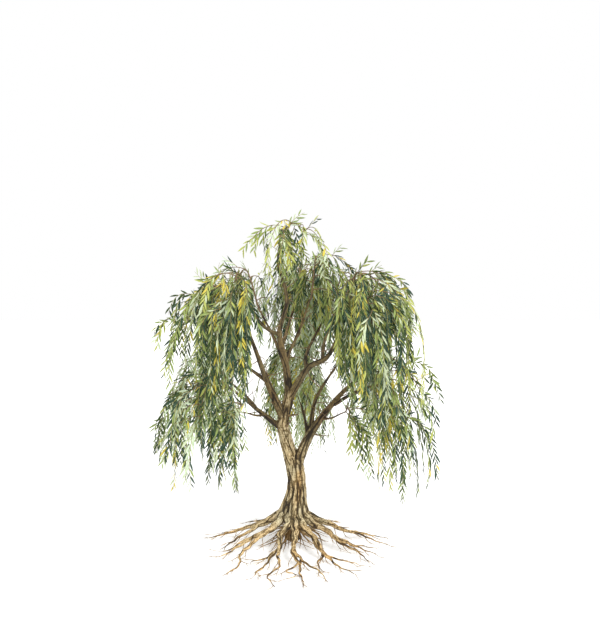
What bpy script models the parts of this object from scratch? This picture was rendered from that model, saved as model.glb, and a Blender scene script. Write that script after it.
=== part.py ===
"""A weeping willow that stands on its own spreading roots, in metres, +Z up.

The origin is the centre of the flat cut under the trunk, at ground level. Bearings are in
degrees about +Z: 0 is +X (right), 90 is +Y (back), 180 is -X (left) and 270 is -Y (front).
"""

import itertools
import math
import random
from collections import Counter, namedtuple

import bmesh
import bpy
import numpy as np
from mathutils import Matrix, Vector

# Driving dimensions, in metres.
ROOT_REACH = 2.35
TRUNK_RADIUS = 0.22
GAP = 0.0003
SEED = 11

# Each leaf stands for a spray of leaves, so it is larger than life. Pairs are ranges.
LEAF_LENGTHS = (0.51, 0.66)
TIP_LEAF_LENGTH = 0.48
LEAF_WIDTH = 0.16
LEAF_THICKNESS = 0.028
LEAF_SPACING = 0.90
FEWEST_LEAVES = 2
TIP_OVERLAP = 0.03
# Degrees off the strand, and degrees of a leaf's flat side off its own bearing.
LEAF_ANGLES = (26.0, 38.0)
LEAF_TURNS = (30.0, 150.0)
# A leaf's outline: share of its length, and half width as a share of LEAF_WIDTH.
LEAF_OUTLINE = [(0.06, 0.01), (0.3, 0.3), (0.5, 0.5), (0.7, 0.3), (1.0, 0.01)]

STEM_POINTS = 7
STEM_TIP_RADIUS = 0.016
STEM_START = 0.12
# Where a stem's crest and shoulder stand on its way out, and the shoulder's share of its fall.
CREST_SHARE = 0.42
SHOULDER_SHARE = 0.78
SHOULDER_FALL = 0.36

STRAND_RADIUS = 0.016
STRAND_TIP_RADIUS = 0.007
# The part of the stem that carries strands, and how far they turn off its run at its two ends.
STRAND_SHARES = (0.22, 0.985)
TURN_AT_ENDS = (1.15, 0.55)
# A strand's way down: share of its run out, and share of its drop.
STRAND_WAY = [(0.0, 0.0), (0.60, -0.015), (0.98, 0.34), (1.05, 1.0)]
TURN_SHARES = (0.55, 1.0)
RUN_SHARES = (0.7, 1.1)
HEM_SPREAD = 0.35
STRAND_TRIES = 6

# Room kept between the solids, and between the twigs of one mass.
CLEARANCE = 0.012
PROBE_STEP = 0.04
# The share of a strand's first stretch that may touch its own stem.
OFF_STEM = 0.4

CURVE_STEPS = 16
WELD = 1e-5
TINY = 1e-12
SHARP_ANGLE = 50.0

LIMB_POINTS = 7
LIMB_SIDES = 8
THIN_LIMB_SIDES = 6
THIN_LIMB_RADIUS = 0.06
TRUNK_SIDES = 12
ROOT_POINTS = 8
ROOT_FORK_POINTS = 5
ROOT_SIDES = 6
TWIG_SIDES = 4
ROOT_TIP_RADIUS = 0.010

BARK = ("bark", (0.36, 0.29, 0.20), 0.85)
ROOT_BARK = ("root_bark", (0.42, 0.31, 0.18), 0.85)
LEAF_GREEN = ("leaf_green", (0.20, 0.30, 0.10), 0.6)

# Trunk rings from the ground to the fork: height and sideways shift in metres, radius as a
# share of TRUNK_RADIUS.
Ring = namedtuple("Ring", "height shift radius")
TRUNK_RINGS = [
    Ring(0.00, 0.00, 1.10),
    Ring(0.26, 0.00, 1.25),
    Ring(0.50, 0.00, 1.40),
    Ring(0.74, 0.02, 1.34),
    Ring(0.98, 0.05, 1.12),
    Ring(1.22, 0.09, 1.00),
    Ring(1.48, 0.09, 0.99),
    Ring(1.74, 0.05, 1.05),
    Ring(1.92, 0.03, 1.00),
    Ring(2.03, 0.02, 0.55),
]

# A limb starts inside its parent, tapers from base to tip radius and follows its points.
Limb = namedtuple("Limb", "name parent base tip points")
LIMBS = [
    Limb("stem_left", "trunk", 0.190, 0.125, [
        (0.03, 0.00, 1.70), (-0.22, 0.01, 2.60), (-0.23, 0.03, 2.90), (-0.05, 0.02, 3.56)]),
    Limb("limb_right", "trunk", 0.150, 0.045, [
        (0.07, 0.00, 1.72), (0.31, -0.04, 2.34), (0.60, -0.03, 2.81), (1.06, 0.05, 3.38),
        (1.53, -0.02, 3.86)]),
    Limb("leader", "stem_left", 0.105, 0.024, [
        (-0.07, 0.02, 3.40), (-0.19, 0.05, 4.28), (-0.33, 0.05, 4.98), (-0.15, 0.06, 5.78),
        (-0.36, 0.04, 6.69), (-0.29, 0.03, 7.25)]),
    Limb("bough_right_centre", "stem_left", 0.105, 0.032, [
        (-0.12, 0.02, 3.36), (0.36, -0.18, 4.14), (0.84, -0.42, 4.46), (1.22, -0.84, 5.40)]),
    Limb("bough_left_mid", "stem_left", 0.110, 0.032, [
        (-0.20, 0.02, 2.84), (-0.63, -0.16, 3.86), (-0.86, -0.40, 4.54), (-1.14, -0.84, 5.40)]),
    Limb("bough_left_low", "stem_left", 0.085, 0.032, [
        (-0.22, 0.02, 2.62), (-0.69, -0.05, 3.00), (-1.38, -0.06, 3.55)]),
    Limb("bough_left_fore", "bough_left_low", 0.045, 0.026, [
        (-0.90, -0.08, 3.20), (-1.16, -0.50, 3.58), (-1.42, -1.06, 3.92)]),
    Limb("bough_left_inner", "bough_left_low", 0.034, 0.020, [
        (-0.70, -0.05, 3.00), (-0.86, -0.26, 3.02), (-1.12, -0.42, 3.12)]),
    Limb("bough_left_side", "bough_left_mid", 0.052, 0.026, [
        (-0.62, -0.15, 3.82), (-1.17, 0.40, 4.14), (-1.52, 0.86, 4.30)]),
    Limb("bough_left_top", "leader", 0.048, 0.026, [
        (-0.32, 0.05, 4.92), (-0.72, 0.07, 5.15), (-1.36, 0.02, 5.98)]),
    Limb("bough_centre", "leader", 0.050, 0.024, [
        (-0.19, 0.05, 4.34), (0.10, 0.18, 4.90), (0.42, 0.30, 5.80)]),
    Limb("bough_right_rear", "bough_right_centre", 0.050, 0.026, [
        (0.32, -0.16, 4.10), (0.34, 0.02, 4.50), (0.84, 0.86, 5.40)]),
    Limb("bough_right_top", "bough_right_centre", 0.046, 0.026, [
        (0.70, -0.34, 4.36), (0.76, -0.16, 4.80), (1.20, -0.02, 6.00)]),
    Limb("snag", "limb_right", 0.056, 0.014, [
        (0.36, -0.04, 2.46), (0.28, 0.06, 2.92), (0.12, 0.14, 3.44)]),
    Limb("snag_side", "snag", 0.024, 0.012, [
        (0.28, 0.06, 2.94), (0.32, 0.12, 3.24), (0.39, 0.16, 3.60)]),
    Limb("bough_right_mid", "limb_right", 0.066, 0.026, [
        (0.43, -0.03, 2.60), (0.56, 0.24, 3.34), (1.16, 0.92, 4.20)]),
    Limb("bough_right_low", "limb_right", 0.052, 0.028, [
        (1.00, 0.03, 3.24), (1.46, -0.22, 3.56), (1.92, -0.68, 3.80)]),
    Limb("bough_right_inner", "limb_right", 0.032, 0.020, [
        (0.70, -0.04, 2.90), (0.92, -0.24, 2.96), (1.16, -0.38, 3.10)]),
    Limb("bough_back_low", "stem_left", 0.070, 0.028, [
        (-0.20, 0.04, 2.76), (-0.19, 0.60, 3.44), (-0.16, 1.30, 4.06)]),
    Limb("bough_back_left", "leader", 0.060, 0.028, [
        (-0.10, 0.03, 3.90), (-0.44, 0.54, 4.74), (-0.86, 1.08, 5.50)]),
    Limb("bough_back_top", "leader", 0.052, 0.026, [
        (-0.27, 0.05, 4.62), (-0.08, 0.56, 5.28), (0.12, 1.08, 5.90)]),
]

# A mass of foliage grows from a bough's tip. Its stem arches over its crest and ends at its
# bearing and reach. Its strands leave the stem on both sides, up to spread degrees from its
# run, go out by run and hang to about the hem. Everything but the angles is in metres.
Mass = namedtuple("Mass", "name bough bearing reach crest end hem run spread strands")
MASSES = [
    Mass("foliage_crown_top", "leader", 354, 0.34, 7.62, 7.35, 5.70, 0.72, 165, 8),
    Mass("foliage_upper_left", "bough_left_top", 178, 2.65, 6.10, 5.00, 3.85, 0.36, 60, 6),
    Mass("foliage_upper_fore_left", "bough_left_mid", 236, 2.30, 6.35, 5.30, 3.35, 0.62, 80, 8),
    Mass("foliage_upper_back_left", "bough_back_left", 134, 2.60, 6.60, 5.20, 3.70, 0.62, 80, 6),
    Mass("foliage_upper_back", "bough_back_top", 84, 2.60, 6.80, 5.40, 3.70, 0.62, 80, 6),
    Mass("foliage_upper_back_right", "bough_right_rear", 38, 2.60, 6.50, 5.20, 3.60, 0.60, 80, 6),
    Mass("foliage_upper_right", "bough_right_top", 1, 2.45, 6.42, 5.30, 4.30, 0.36, 60, 6),
    Mass("foliage_upper_fore_right", "bough_right_centre", 314, 2.45, 6.36, 5.20, 3.00, 0.64, 75, 8),
    Mass("foliage_centre", "bough_centre", 40, 1.00, 6.85, 6.30, 4.20, 0.62, 120, 5),
    Mass("foliage_lower_left", "bough_left_low", 182, 2.82, 3.90, 2.90, 1.80, 0.40, 65, 6),
    Mass("foliage_lower_fore_left", "bough_left_fore", 221, 2.65, 4.20, 3.10, 1.50, 0.52, 65, 6),
    Mass("foliage_lower_back_left", "bough_left_side", 146, 2.85, 4.70, 3.30, 1.60, 0.55, 75, 6),
    Mass("foliage_lower_back", "bough_back_low", 86, 2.70, 4.60, 3.20, 1.40, 0.60, 75, 6),
    Mass("foliage_lower_back_right", "bough_right_mid", 48, 2.85, 4.60, 3.20, 1.60, 0.60, 75, 6),
    Mass("foliage_lower_right", "limb_right", 1, 3.12, 4.40, 3.50, 2.45, 0.36, 60, 7),
    Mass("foliage_lower_fore_right", "bough_right_low", 322, 2.75, 4.20, 3.10, 1.30, 0.55, 70, 6),
    Mass("foliage_inner_left", "bough_left_inner", 212, 1.50, 3.35, 3.00, 1.35, 0.42, 80, 3),
    Mass("foliage_inner_right", "bough_right_inner", 334, 1.50, 3.30, 3.00, 1.45, 0.42, 80, 3),
]

# A root leaves the trunk at its start bearing and ends at its own bearing, at a share of
# ROOT_REACH. Thick is its radius near the trunk in metres.
Root = namedtuple("Root", "name start bearing reach thick forks")
# A fork starts at a share along its root and ends at its bearing and share of ROOT_REACH.
Fork = namedtuple("Fork", "share bearing reach")
ROOTS = [
    Root("root_left", 184, 180, 0.94, 0.115, [Fork(0.38, 203, 0.78), Fork(0.55, 170, 0.80)]),
    Root("root_fore_left", 222, 214, 0.91, 0.120, [Fork(0.34, 236, 1.10), Fork(0.52, 205, 0.80)]),
    Root("root_front_left", 256, 250, 1.06, 0.105, [Fork(0.40, 264, 1.19), Fork(0.52, 239, 0.76)]),
    Root("root_front_right", 272, 275, 1.21, 0.105, [Fork(0.40, 287, 1.10), Fork(0.60, 267, 0.98)]),
    Root("root_fore_right", 296, 303, 1.10, 0.110, [Fork(0.36, 289, 0.89), Fork(0.56, 312, 0.94)]),
    Root("root_right_front", 328, 333, 0.94, 0.115, [Fork(0.36, 318, 0.97), Fork(0.56, 342, 0.80)]),
    Root("root_right", 2, 0, 1.00, 0.110, [Fork(0.42, 351, 0.98), Fork(0.54, 12, 0.78)]),
    Root("root_back_right", 42, 44, 0.74, 0.115, [Fork(0.40, 28, 0.66), Fork(0.55, 57, 0.68)]),
    Root("root_back", 90, 90, 0.70, 0.120, [Fork(0.40, 76, 0.66), Fork(0.55, 105, 0.66)]),
    Root("root_back_left", 138, 138, 0.74, 0.115, [Fork(0.40, 124, 0.66), Fork(0.55, 154, 0.68)]),
]
# The longest root's way down from the trunk: distance out from the axis and height, in metres.
ROOT_DESCENT = [(0.05, 0.76), (0.24, 0.65), (0.50, 0.50), (0.82, 0.37), (1.25, 0.23), (1.80, 0.09)]
# The share of a root's reach at which its way down ends, and its height in radii from there on.
DESCENT_SHARE = 0.82
ROOT_LIFT = 0.3
# A root's radius: share of its length, and share of its radius near the trunk.
ROOT_TAPER = [(0.0, 1.0), (0.2, 0.86), (0.38, 0.52), (0.6, 0.30), (0.85, 0.15), (1.0, 0.05)]
FORK_TAPER = 0.8
FORK_SHARES = (0.25, 0.5, 0.75)
# How early a fork bends to its bearing, and how early it falls to the ground.
FORK_BEND = 0.8
FORK_FALL = 1.3
SWAY_STEP = 2.2
SNAKING = 3.5


class Taken:
    """The room already taken by limbs, twigs and leaves, as capsules."""

    def __init__(self):
        self.starts = np.empty((0, 3))
        self.ends = np.empty((0, 3))
        self.radii = np.empty(0)
        self.owners = np.empty(0, int)

    def add(self, route, radii, owner):
        route = np.asarray(route, float)
        self.starts = np.vstack([self.starts, route[:-1]])
        self.ends = np.vstack([self.ends, route[1:]])
        widest = np.maximum(radii[:-1], radii[1:])
        self.radii = np.concatenate([self.radii, widest])
        self.owners = np.concatenate([self.owners, np.full(len(widest), owner)])

    def is_clear(self, route, radii, but=()):
        """Whether a tapering route keeps its clearance from all owners but those given."""
        others = ~np.isin(self.owners, list(but))
        starts, ends, taken = self.starts[others], self.ends[others], self.radii[others]
        if not len(starts):
            return True
        probes, reach = probe_points(route, radii)
        along = ends - starts
        length = np.maximum((along ** 2).sum(axis=1), TINY)
        offset = probes[:, None] - starts[None]
        share = np.clip((offset * along[None]).sum(axis=2) / length, 0.0, 1.0)
        apart = np.linalg.norm(offset - share[..., None] * along[None], axis=2)
        return bool((apart - taken[None] - reach[:, None] > CLEARANCE).all())


def probe_points(route, radii):
    """Close points along a route, each with its radius."""
    route = np.asarray(route, float)
    steps = np.linalg.norm(np.diff(route, axis=0), axis=1)
    run = np.concatenate([[0.0], np.cumsum(steps)])
    count = max(2, math.ceil(run[-1] / PROBE_STEP))
    at = np.linspace(0.0, run[-1], count)
    probes = np.stack([np.interp(at, run, route[:, axis]) for axis in range(3)], axis=1)
    return probes, np.interp(at, run, radii)


def smooth_route(points, count):
    """Evenly spaced points along a smooth curve through the given ones."""
    knots = np.array(points, float)
    padded = np.vstack([2 * knots[0] - knots[1], knots, 2 * knots[-1] - knots[-2]])
    dense = []
    for before, start, end, after in zip(padded, padded[1:], padded[2:], padded[3:]):
        for t in np.linspace(0.0, 1.0, CURVE_STEPS, endpoint=False):
            dense.append(0.5 * (2 * start + (end - before) * t
                                + (2 * before - 5 * start + 4 * end - after) * t ** 2
                                + (3 * start - 3 * end + after - before) * t ** 3))
    dense.append(knots[-1])
    dense = np.array(dense)
    run = np.concatenate([[0.0], np.cumsum(np.linalg.norm(np.diff(dense, axis=0), axis=1))])
    at = np.linspace(0.0, run[-1], count)
    return np.stack([np.interp(at, run, dense[:, axis]) for axis in range(3)], axis=1)


def bearing_vector(bearing):
    """The level unit vector at a bearing in degrees."""
    return np.array([math.cos(math.radians(bearing)), math.sin(math.radians(bearing)), 0.0])


def unit(vector):
    return vector / np.linalg.norm(vector)


def new_group(name):
    group = bpy.data.collections.new(name)
    bpy.context.scene.collection.children.link(group)
    return group


def new_material(name, colour, roughness):
    material = bpy.data.materials.new(name)
    material.use_nodes = True
    shader = material.node_tree.nodes["Principled BSDF"]
    shader.inputs["Base Color"].default_value = (*colour, 1.0)
    shader.inputs["Roughness"].default_value = roughness
    material.diffuse_color = (*colour, 1.0)
    return material


def evaluated_mesh(piece):
    return bpy.data.meshes.new_from_object(
        piece.evaluated_get(bpy.context.evaluated_depsgraph_get()))


def grown_tube(name, route, radii, sides, group):
    """A tube that is larger on all sides by the gap, for cutting its neighbours."""
    longer = np.array(route, float)
    longer[0] += unit(longer[0] - longer[1]) * GAP
    longer[-1] += unit(longer[-1] - longer[-2]) * GAP
    return tube(name, longer, np.array(radii) + GAP / math.cos(math.pi / sides), sides, group)


def tube(name, route, radii, sides, group, profile=None):
    """A tapering tube with flat ends along a route, as one closed mesh."""
    curve = bpy.data.curves.new(name, "CURVE")
    curve.dimensions = "3D"
    curve.use_fill_caps = True
    if profile:
        curve.bevel_mode = "OBJECT"
        curve.bevel_object = profile
    else:
        curve.bevel_depth = 1.0
        curve.bevel_resolution = (sides - 4) // 2
    spline = curve.splines.new("POLY")
    spline.points.add(len(route) - 1)
    for point, place, radius in zip(spline.points, route, radii):
        point.co = (*place, 1.0)
        point.radius = radius
    drawn = bpy.data.objects.new(name + "_curve", curve)
    group.objects.link(drawn)
    mesh = evaluated_mesh(drawn)
    bpy.data.objects.remove(drawn)
    bpy.data.curves.remove(curve)
    close_ends(mesh)
    piece = bpy.data.objects.new(name, mesh)
    group.objects.link(piece)
    return piece


def close_ends(mesh):
    """Welds a tube's caps on, and cuts its sides the same way on a tube and its cutter."""
    shape = bmesh.new()
    shape.from_mesh(mesh)
    bmesh.ops.remove_doubles(shape, verts=shape.verts, dist=WELD)
    bmesh.ops.recalc_face_normals(shape, faces=shape.faces)
    bmesh.ops.triangulate(shape, faces=shape.faces, quad_method="FIXED")
    shape.to_mesh(mesh)
    shape.free()


def triangle_profile(group):
    """The three-sided outline of a strand, of radius 1."""
    curve = bpy.data.curves.new("strand_profile", "CURVE")
    curve.dimensions = "2D"
    spline = curve.splines.new("POLY")
    spline.points.add(2)
    spline.use_cyclic_u = True
    for index, point in enumerate(spline.points):
        angle = 2 * math.pi * index / 3
        point.co = (math.cos(angle), math.sin(angle), 0.0, 1.0)
    profile = bpy.data.objects.new("strand_profile", curve)
    profile.hide_render = True
    group.objects.link(profile)
    return profile


def leaf_mesh():
    """A three-sided double cone of unit length from its root at the origin to its tip on +Z."""
    shape = bmesh.new()
    bmesh.ops.create_uvsphere(shape, u_segments=3, v_segments=2, radius=0.5)
    bmesh.ops.translate(shape, verts=shape.verts, vec=(0.0, 0.0, 0.5))
    mesh = bpy.data.meshes.new("leaf")
    shape.to_mesh(mesh)
    shape.free()
    return mesh


def boolean_mesh(piece, operation, cutter, group, solver):
    """A piece's mesh once it is joined to, or cut by, one object or a whole collection."""
    step = piece.modifiers.new(operation.lower(), "BOOLEAN")
    step.operation = operation
    step.solver = solver
    if group:
        step.operand_type = "COLLECTION"
        step.collection = group
    else:
        step.object = cutter
    mesh = evaluated_mesh(piece)
    piece.modifiers.remove(step)
    return mesh


def is_closed(mesh):
    """Whether each edge of a mesh, cut into triangles, joins exactly two of them."""
    mesh.calc_loop_triangles()
    edges = Counter()
    for triangle in mesh.loop_triangles:
        first, second, third = triangle.vertices
        for pair in ((first, second), (second, third), (third, first)):
            edges[tuple(sorted(pair))] += 1
    return set(edges.values()) == {2}


def apply_boolean(piece, operation, cutter=None, group=None):
    """Joins or cuts a piece for good. The manifold solver steps in where a surface opens."""
    mesh = boolean_mesh(piece, operation, cutter, group, "EXACT")
    if not is_closed(mesh):
        mesh = boolean_mesh(piece, operation, cutter, group, "MANIFOLD")
    piece.data = mesh


def islands(shape):
    """The separate bodies of a mesh, as lists of faces."""
    seen = set()
    bodies = []
    for face in shape.faces:
        if face in seen:
            continue
        body = []
        waiting = [face]
        seen.add(face)
        while waiting:
            current = waiting.pop()
            body.append(current)
            for edge in current.edges:
                for other in edge.link_faces:
                    if other not in seen:
                        seen.add(other)
                        waiting.append(other)
        bodies.append(body)
    return bodies


def skin_area(body):
    return sum(face.calc_area() for face in body)


def keep_main_body(piece):
    """Fills sealed hollows and drops loose scrap."""
    shape = bmesh.new()
    shape.from_mesh(piece.data)
    bodies = sorted(islands(shape), key=skin_area)
    for body in bodies[:-1]:
        bmesh.ops.delete(shape, geom=body, context="FACES")
    shape.to_mesh(piece.data)
    shape.free()


def finish(piece, material):
    """One material, smooth sides and sharp ends."""
    piece.data.materials.clear()
    piece.data.materials.append(material)
    piece.data.shade_smooth()
    piece.data.set_sharp_from_angle(angle=math.radians(SHARP_ANGLE))


def taper(base, tip, count):
    return np.linspace(base, tip, count)


def trunk_route():
    """The trunk's centre line and its radii."""
    route = [(ring.shift, 0.0, ring.height) for ring in TRUNK_RINGS]
    radii = [ring.radius * TRUNK_RADIUS for ring in TRUNK_RINGS]
    return np.array(route), np.array(radii)


def sway(bearing, number):
    """How far, in degrees, a root winds off its bearing at one of its points."""
    return SNAKING * math.sin(bearing + SWAY_STEP * number)


def root_lines(root):
    """The centre lines and radii of a root and its forks, from the trunk outwards."""
    reach = root.reach * ROOT_REACH
    shorter = min(1.0, DESCENT_SHARE * reach / ROOT_DESCENT[-1][0])
    points = []
    for number, (out, height) in enumerate(ROOT_DESCENT):
        bearing = root.start
        if number > 1:
            out *= shorter
            bearing += (root.bearing - root.start) * out / reach + sway(root.start, number)
        points.append(bearing_vector(bearing) * out + (0.0, 0.0, height))
    points.append(bearing_vector(root.bearing) * reach)
    line = smooth_route(points, ROOT_POINTS)
    shares, sizes = zip(*ROOT_TAPER)
    radii = root.thick * np.interp(np.linspace(0.0, 1.0, ROOT_POINTS), shares, sizes)
    lines = [(line, np.maximum(radii, ROOT_TIP_RADIUS))]
    for fork in root.forks:
        lines.append(fork_line(fork, line, radii))
    for line, radii in lines:
        line[:, 2] = np.maximum(line[:, 2], ROOT_LIFT * radii)
    return lines


def fork_line(fork, line, radii):
    """The centre line and radii of a side root."""
    first = point_along(line, fork.share)
    width = FORK_TAPER * np.interp(fork.share, np.linspace(0.0, 1.0, len(radii)), radii)
    out = math.hypot(first[0], first[1])
    heading = math.degrees(math.atan2(first[1], first[0])) % 360
    turn = (fork.bearing - heading + 180) % 360 - 180
    reach = fork.reach * ROOT_REACH
    points = [first]
    for number, share in enumerate(FORK_SHARES):
        bearing = heading + turn * share ** FORK_BEND + sway(fork.bearing, number)
        height = first[2] * (1.0 - share) ** FORK_FALL
        points.append(bearing_vector(bearing) * (out + (reach - out) * share)
                      + (0.0, 0.0, height))
    points.append(bearing_vector(fork.bearing) * reach)
    return smooth_route(points, ROOT_FORK_POINTS), taper(width, ROOT_TIP_RADIUS, ROOT_FORK_POINTS)


def root_solid(root, lines, group, make=tube):
    """A root with its forks fused on."""
    solid = make(root.name, *lines[0], ROOT_SIDES, group)
    for line, radii in lines[1:]:
        fork = make("fork", line, radii, TWIG_SIDES, group)
        apply_boolean(solid, "UNION", fork)
        bpy.data.objects.remove(fork)
    return solid


def ground_block(group):
    """Everything below ground level."""
    depth = 1.0
    shape = bmesh.new()
    bmesh.ops.create_cube(shape, size=1.0)
    bmesh.ops.scale(shape, verts=shape.verts, vec=(4 * ROOT_REACH, 4 * ROOT_REACH, depth))
    bmesh.ops.translate(shape, verts=shape.verts, vec=(0.0, 0.0, -depth / 2))
    mesh = bpy.data.meshes.new("ground_block")
    shape.to_mesh(mesh)
    shape.free()
    block = bpy.data.objects.new("ground_block", mesh)
    block.hide_render = True
    block.display_type = "WIRE"
    group.objects.link(block)
    return block


def build_trunk(parts, cutters, bark):
    route, radii = trunk_route()
    trunk = tube("trunk", route, radii, TRUNK_SIDES, parts)
    finish(trunk, bark)
    return grown_tube("trunk_cutter", route, radii, TRUNK_SIDES, cutters)


def build_roots(parts, cutters, trunk_cutter, bark):
    """Roots that run out over the ground, each cut off flat at ground level."""
    ground = ground_block(cutters)
    grown = []
    for root in ROOTS:
        lines = root_lines(root)
        solid = root_solid(root, lines, parts)
        for cutter in [trunk_cutter, ground, *grown]:
            apply_boolean(solid, "DIFFERENCE", cutter)
        keep_main_body(solid)
        finish(solid, bark)
        grown.append(root_solid(root, lines, cutters, grown_tube))


def build_limbs(parts, cutters, trunk_cutter, bark, taken):
    """The limbs from the fork to the masses, each cut where it meets those before it."""
    trunk_line, trunk_radii = trunk_route()
    taken.add(trunk_line, trunk_radii, -1)
    grown = {"trunk": trunk_cutter}
    tips = {}
    for limb in LIMBS:
        sides = LIMB_SIDES if limb.base > THIN_LIMB_RADIUS else THIN_LIMB_SIDES
        line = smooth_route(limb.points, LIMB_POINTS)
        radii = taper(limb.base, limb.tip, LIMB_POINTS)
        solid = tube(limb.name, line, radii, sides, parts)
        for cutter in grown.values():
            apply_boolean(solid, "DIFFERENCE", cutter)
        keep_main_body(solid)
        finish(solid, bark)
        grown[limb.name] = grown_tube(limb.name + "_cutter", line, radii, sides, cutters)
        taken.add(line, radii, -1)
        tips[limb.name] = (line[-1], unit(line[-1] - line[-2]), limb.tip)
    return tips


def mass_stem(mass, tip):
    """The stem's line and radii, from just off the bough's tip over the crest to its end."""
    place, heading, radius = tip
    end = bearing_vector(mass.bearing) * mass.reach + (0.0, 0.0, mass.end)
    level = (end - place) * (1.0, 1.0, 0.0)
    first = place + heading * GAP
    second = first + heading * STEM_START
    crest = place + level * CREST_SHARE
    crest[2] = mass.crest
    shoulder = place + level * SHOULDER_SHARE
    shoulder[2] = mass.crest - SHOULDER_FALL * (mass.crest - mass.end)
    arch = smooth_route([second, crest, shoulder, end], STEM_POINTS - 1)
    line = np.vstack([first, arch])
    return line, taper(radius, STEM_TIP_RADIUS, STEM_POINTS)


def point_along(line, share):
    at = share * (len(line) - 1)
    return np.array([np.interp(at, range(len(line)), line[:, axis]) for axis in range(3)])


def heading_along(line, share):
    """The direction of the stretch of a line that holds a share of its points."""
    index = min(int(share * (len(line) - 1)), len(line) - 2)
    return unit(line[index + 1] - line[index])


def strand_line(mass, stem, number, rng):
    """One hanging strand: it leaves the stem outwards, bends over and hangs to the hem."""
    share = np.interp((number + 1) / mass.strands, (0.0, 1.0), STRAND_SHARES)
    root = point_along(stem, share)
    side = 1 if number % 2 else -1
    turn = side * mass.spread * rng.uniform(*TURN_SHARES) * np.interp(share, (0.0, 1.0), TURN_AT_ENDS)
    out = bearing_vector(mass.bearing + turn) * mass.run * rng.uniform(*RUN_SHARES)
    drop = root[2] - mass.hem - rng.uniform(-HEM_SPREAD, HEM_SPREAD)
    return np.array([root + out * gone - (0.0, 0.0, drop * fallen) for gone, fallen in STRAND_WAY])


def leaf_places(line, rng):
    """Root, direction and length of each leaf of a strand, on alternate sides."""
    length = np.linalg.norm(np.diff(line, axis=0), axis=1).sum()
    count = max(FEWEST_LEAVES, int(length / LEAF_SPACING))
    sideways = bearing_vector(rng.uniform(0.0, 360.0))
    places = []
    for number in range(count):
        share = (number + 0.5) / count
        tangent = heading_along(line, share)
        across = unit(np.cross(tangent, sideways))
        side = 1 if number % 2 else -1
        angle = math.radians(rng.uniform(*LEAF_ANGLES)) * side
        heading = tangent * math.cos(angle) + across * math.sin(angle)
        places.append((point_along(line, share), heading, rng.uniform(*LEAF_LENGTHS)))
    tangent = heading_along(line, 1.0)
    places.append((line[-1] - tangent * TIP_OVERLAP, tangent, TIP_LEAF_LENGTH))
    return places


def leaf_capsules(root, heading, length):
    """A leaf's line and half widths, for the clearance test."""
    shares, widths = np.array(LEAF_OUTLINE).T
    return root + shares[:, None] * heading * length, widths * LEAF_WIDTH


def leaf_object(mesh, root, heading, length, rng, group):
    """A leaf with its root on its strand's centre line, flat side turned roughly outwards."""
    turn = math.atan2(root[1], root[0]) + math.radians(rng.uniform(*LEAF_TURNS))
    across = Vector((math.cos(turn), math.sin(turn), 0.0))
    direction = Vector(heading)
    across = (across - direction * across.dot(direction)).normalized()
    thick = direction.cross(across)
    frame = Matrix((across * LEAF_WIDTH, thick * LEAF_THICKNESS, direction * length)).transposed()
    leaf = bpy.data.objects.new("leaf", mesh)
    leaf.matrix_world = Matrix.Translation(Vector(root)) @ frame.to_4x4()
    group.objects.link(leaf)


def grow_masses(tips, taken):
    """Every stem first, then every strand, then every leaf, so that none is crowded out."""
    rng = random.Random(SEED)
    owners = itertools.count(len(MASSES))
    stems = {}
    strands = {mass.name: [] for mass in MASSES}
    leaves = {mass.name: [] for mass in MASSES}
    for number, mass in enumerate(MASSES):
        line, radii = mass_stem(mass, tips[mass.bough])
        stems[mass.name] = (line, radii)
        taken.add(line, radii, number)
    for number, mass in enumerate(MASSES):
        for strand in range(mass.strands):
            for _ in range(STRAND_TRIES):
                line = strand_line(mass, stems[mass.name][0], strand, rng)
                radii = taper(STRAND_RADIUS, STRAND_TIP_RADIUS, len(line))
                leaving = line[0] + OFF_STEM * (line[1] - line[0])
                off_stem = np.vstack([leaving, line[1:]])
                if taken.is_clear(off_stem, radii) and taken.is_clear(line, radii, {number}):
                    owner = next(owners)
                    taken.add(line, radii, owner)
                    strands[mass.name].append((line, radii, owner))
                    break
    for mass in MASSES:
        for line, radii, owner in strands[mass.name]:
            for root, heading, length in leaf_places(line, rng):
                spine, widths = leaf_capsules(root, heading, length)
                if taken.is_clear(spine, widths, {owner}):
                    taken.add(spine, widths, next(owners))
                    leaves[mass.name].append((root, heading, length))
    return stems, strands, leaves


def build_masses(parts, tips, taken, green):
    """Each mass is one solid: stem, strands and leaves joined."""
    stems, strands, leaves = grow_masses(tips, taken)
    guides = new_group("guides")
    profile = triangle_profile(guides)
    mesh = leaf_mesh()
    rng = random.Random(SEED)
    for mass in MASSES:
        pieces = new_group("pieces")
        stem = tube(mass.name, *stems[mass.name], TWIG_SIDES, parts)
        for line, radii, _ in strands[mass.name]:
            tube("strand", line, radii, 3, pieces, profile)
        for root, heading, length in leaves[mass.name]:
            leaf_object(mesh, root, heading, length, rng, pieces)
        apply_boolean(stem, "UNION", group=pieces)
        keep_main_body(stem)
        finish(stem, green)
        for piece in list(pieces.objects):
            bpy.data.objects.remove(piece)
        bpy.data.collections.remove(pieces)
    bpy.data.objects.remove(profile)
    bpy.data.collections.remove(guides)


def main():
    for old in list(bpy.data.objects):
        bpy.data.objects.remove(old)
    parts = new_group("willow")
    cutters = new_group("cutters")
    bark = new_material(*BARK)
    root_bark = new_material(*ROOT_BARK)
    green = new_material(*LEAF_GREEN)
    taken = Taken()
    trunk_cutter = build_trunk(parts, cutters, bark)
    build_roots(parts, cutters, trunk_cutter, root_bark)
    tips = build_limbs(parts, cutters, trunk_cutter, bark, taken)
    build_masses(parts, tips, taken, green)
    for cutter in list(cutters.objects):
        bpy.data.objects.remove(cutter)


if __name__ == "__main__":
    main()
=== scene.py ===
"""Dresses the willow: furrowed bark, spreading roots, hanging twigs and their leaves.

Everything is in metres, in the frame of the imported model: +Z is up, the ground is level at
z = 0 and bearings are in degrees about +Z, with 0 at +X (right) and 270 at -Y (front).
"""

import math
from collections import namedtuple

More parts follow.
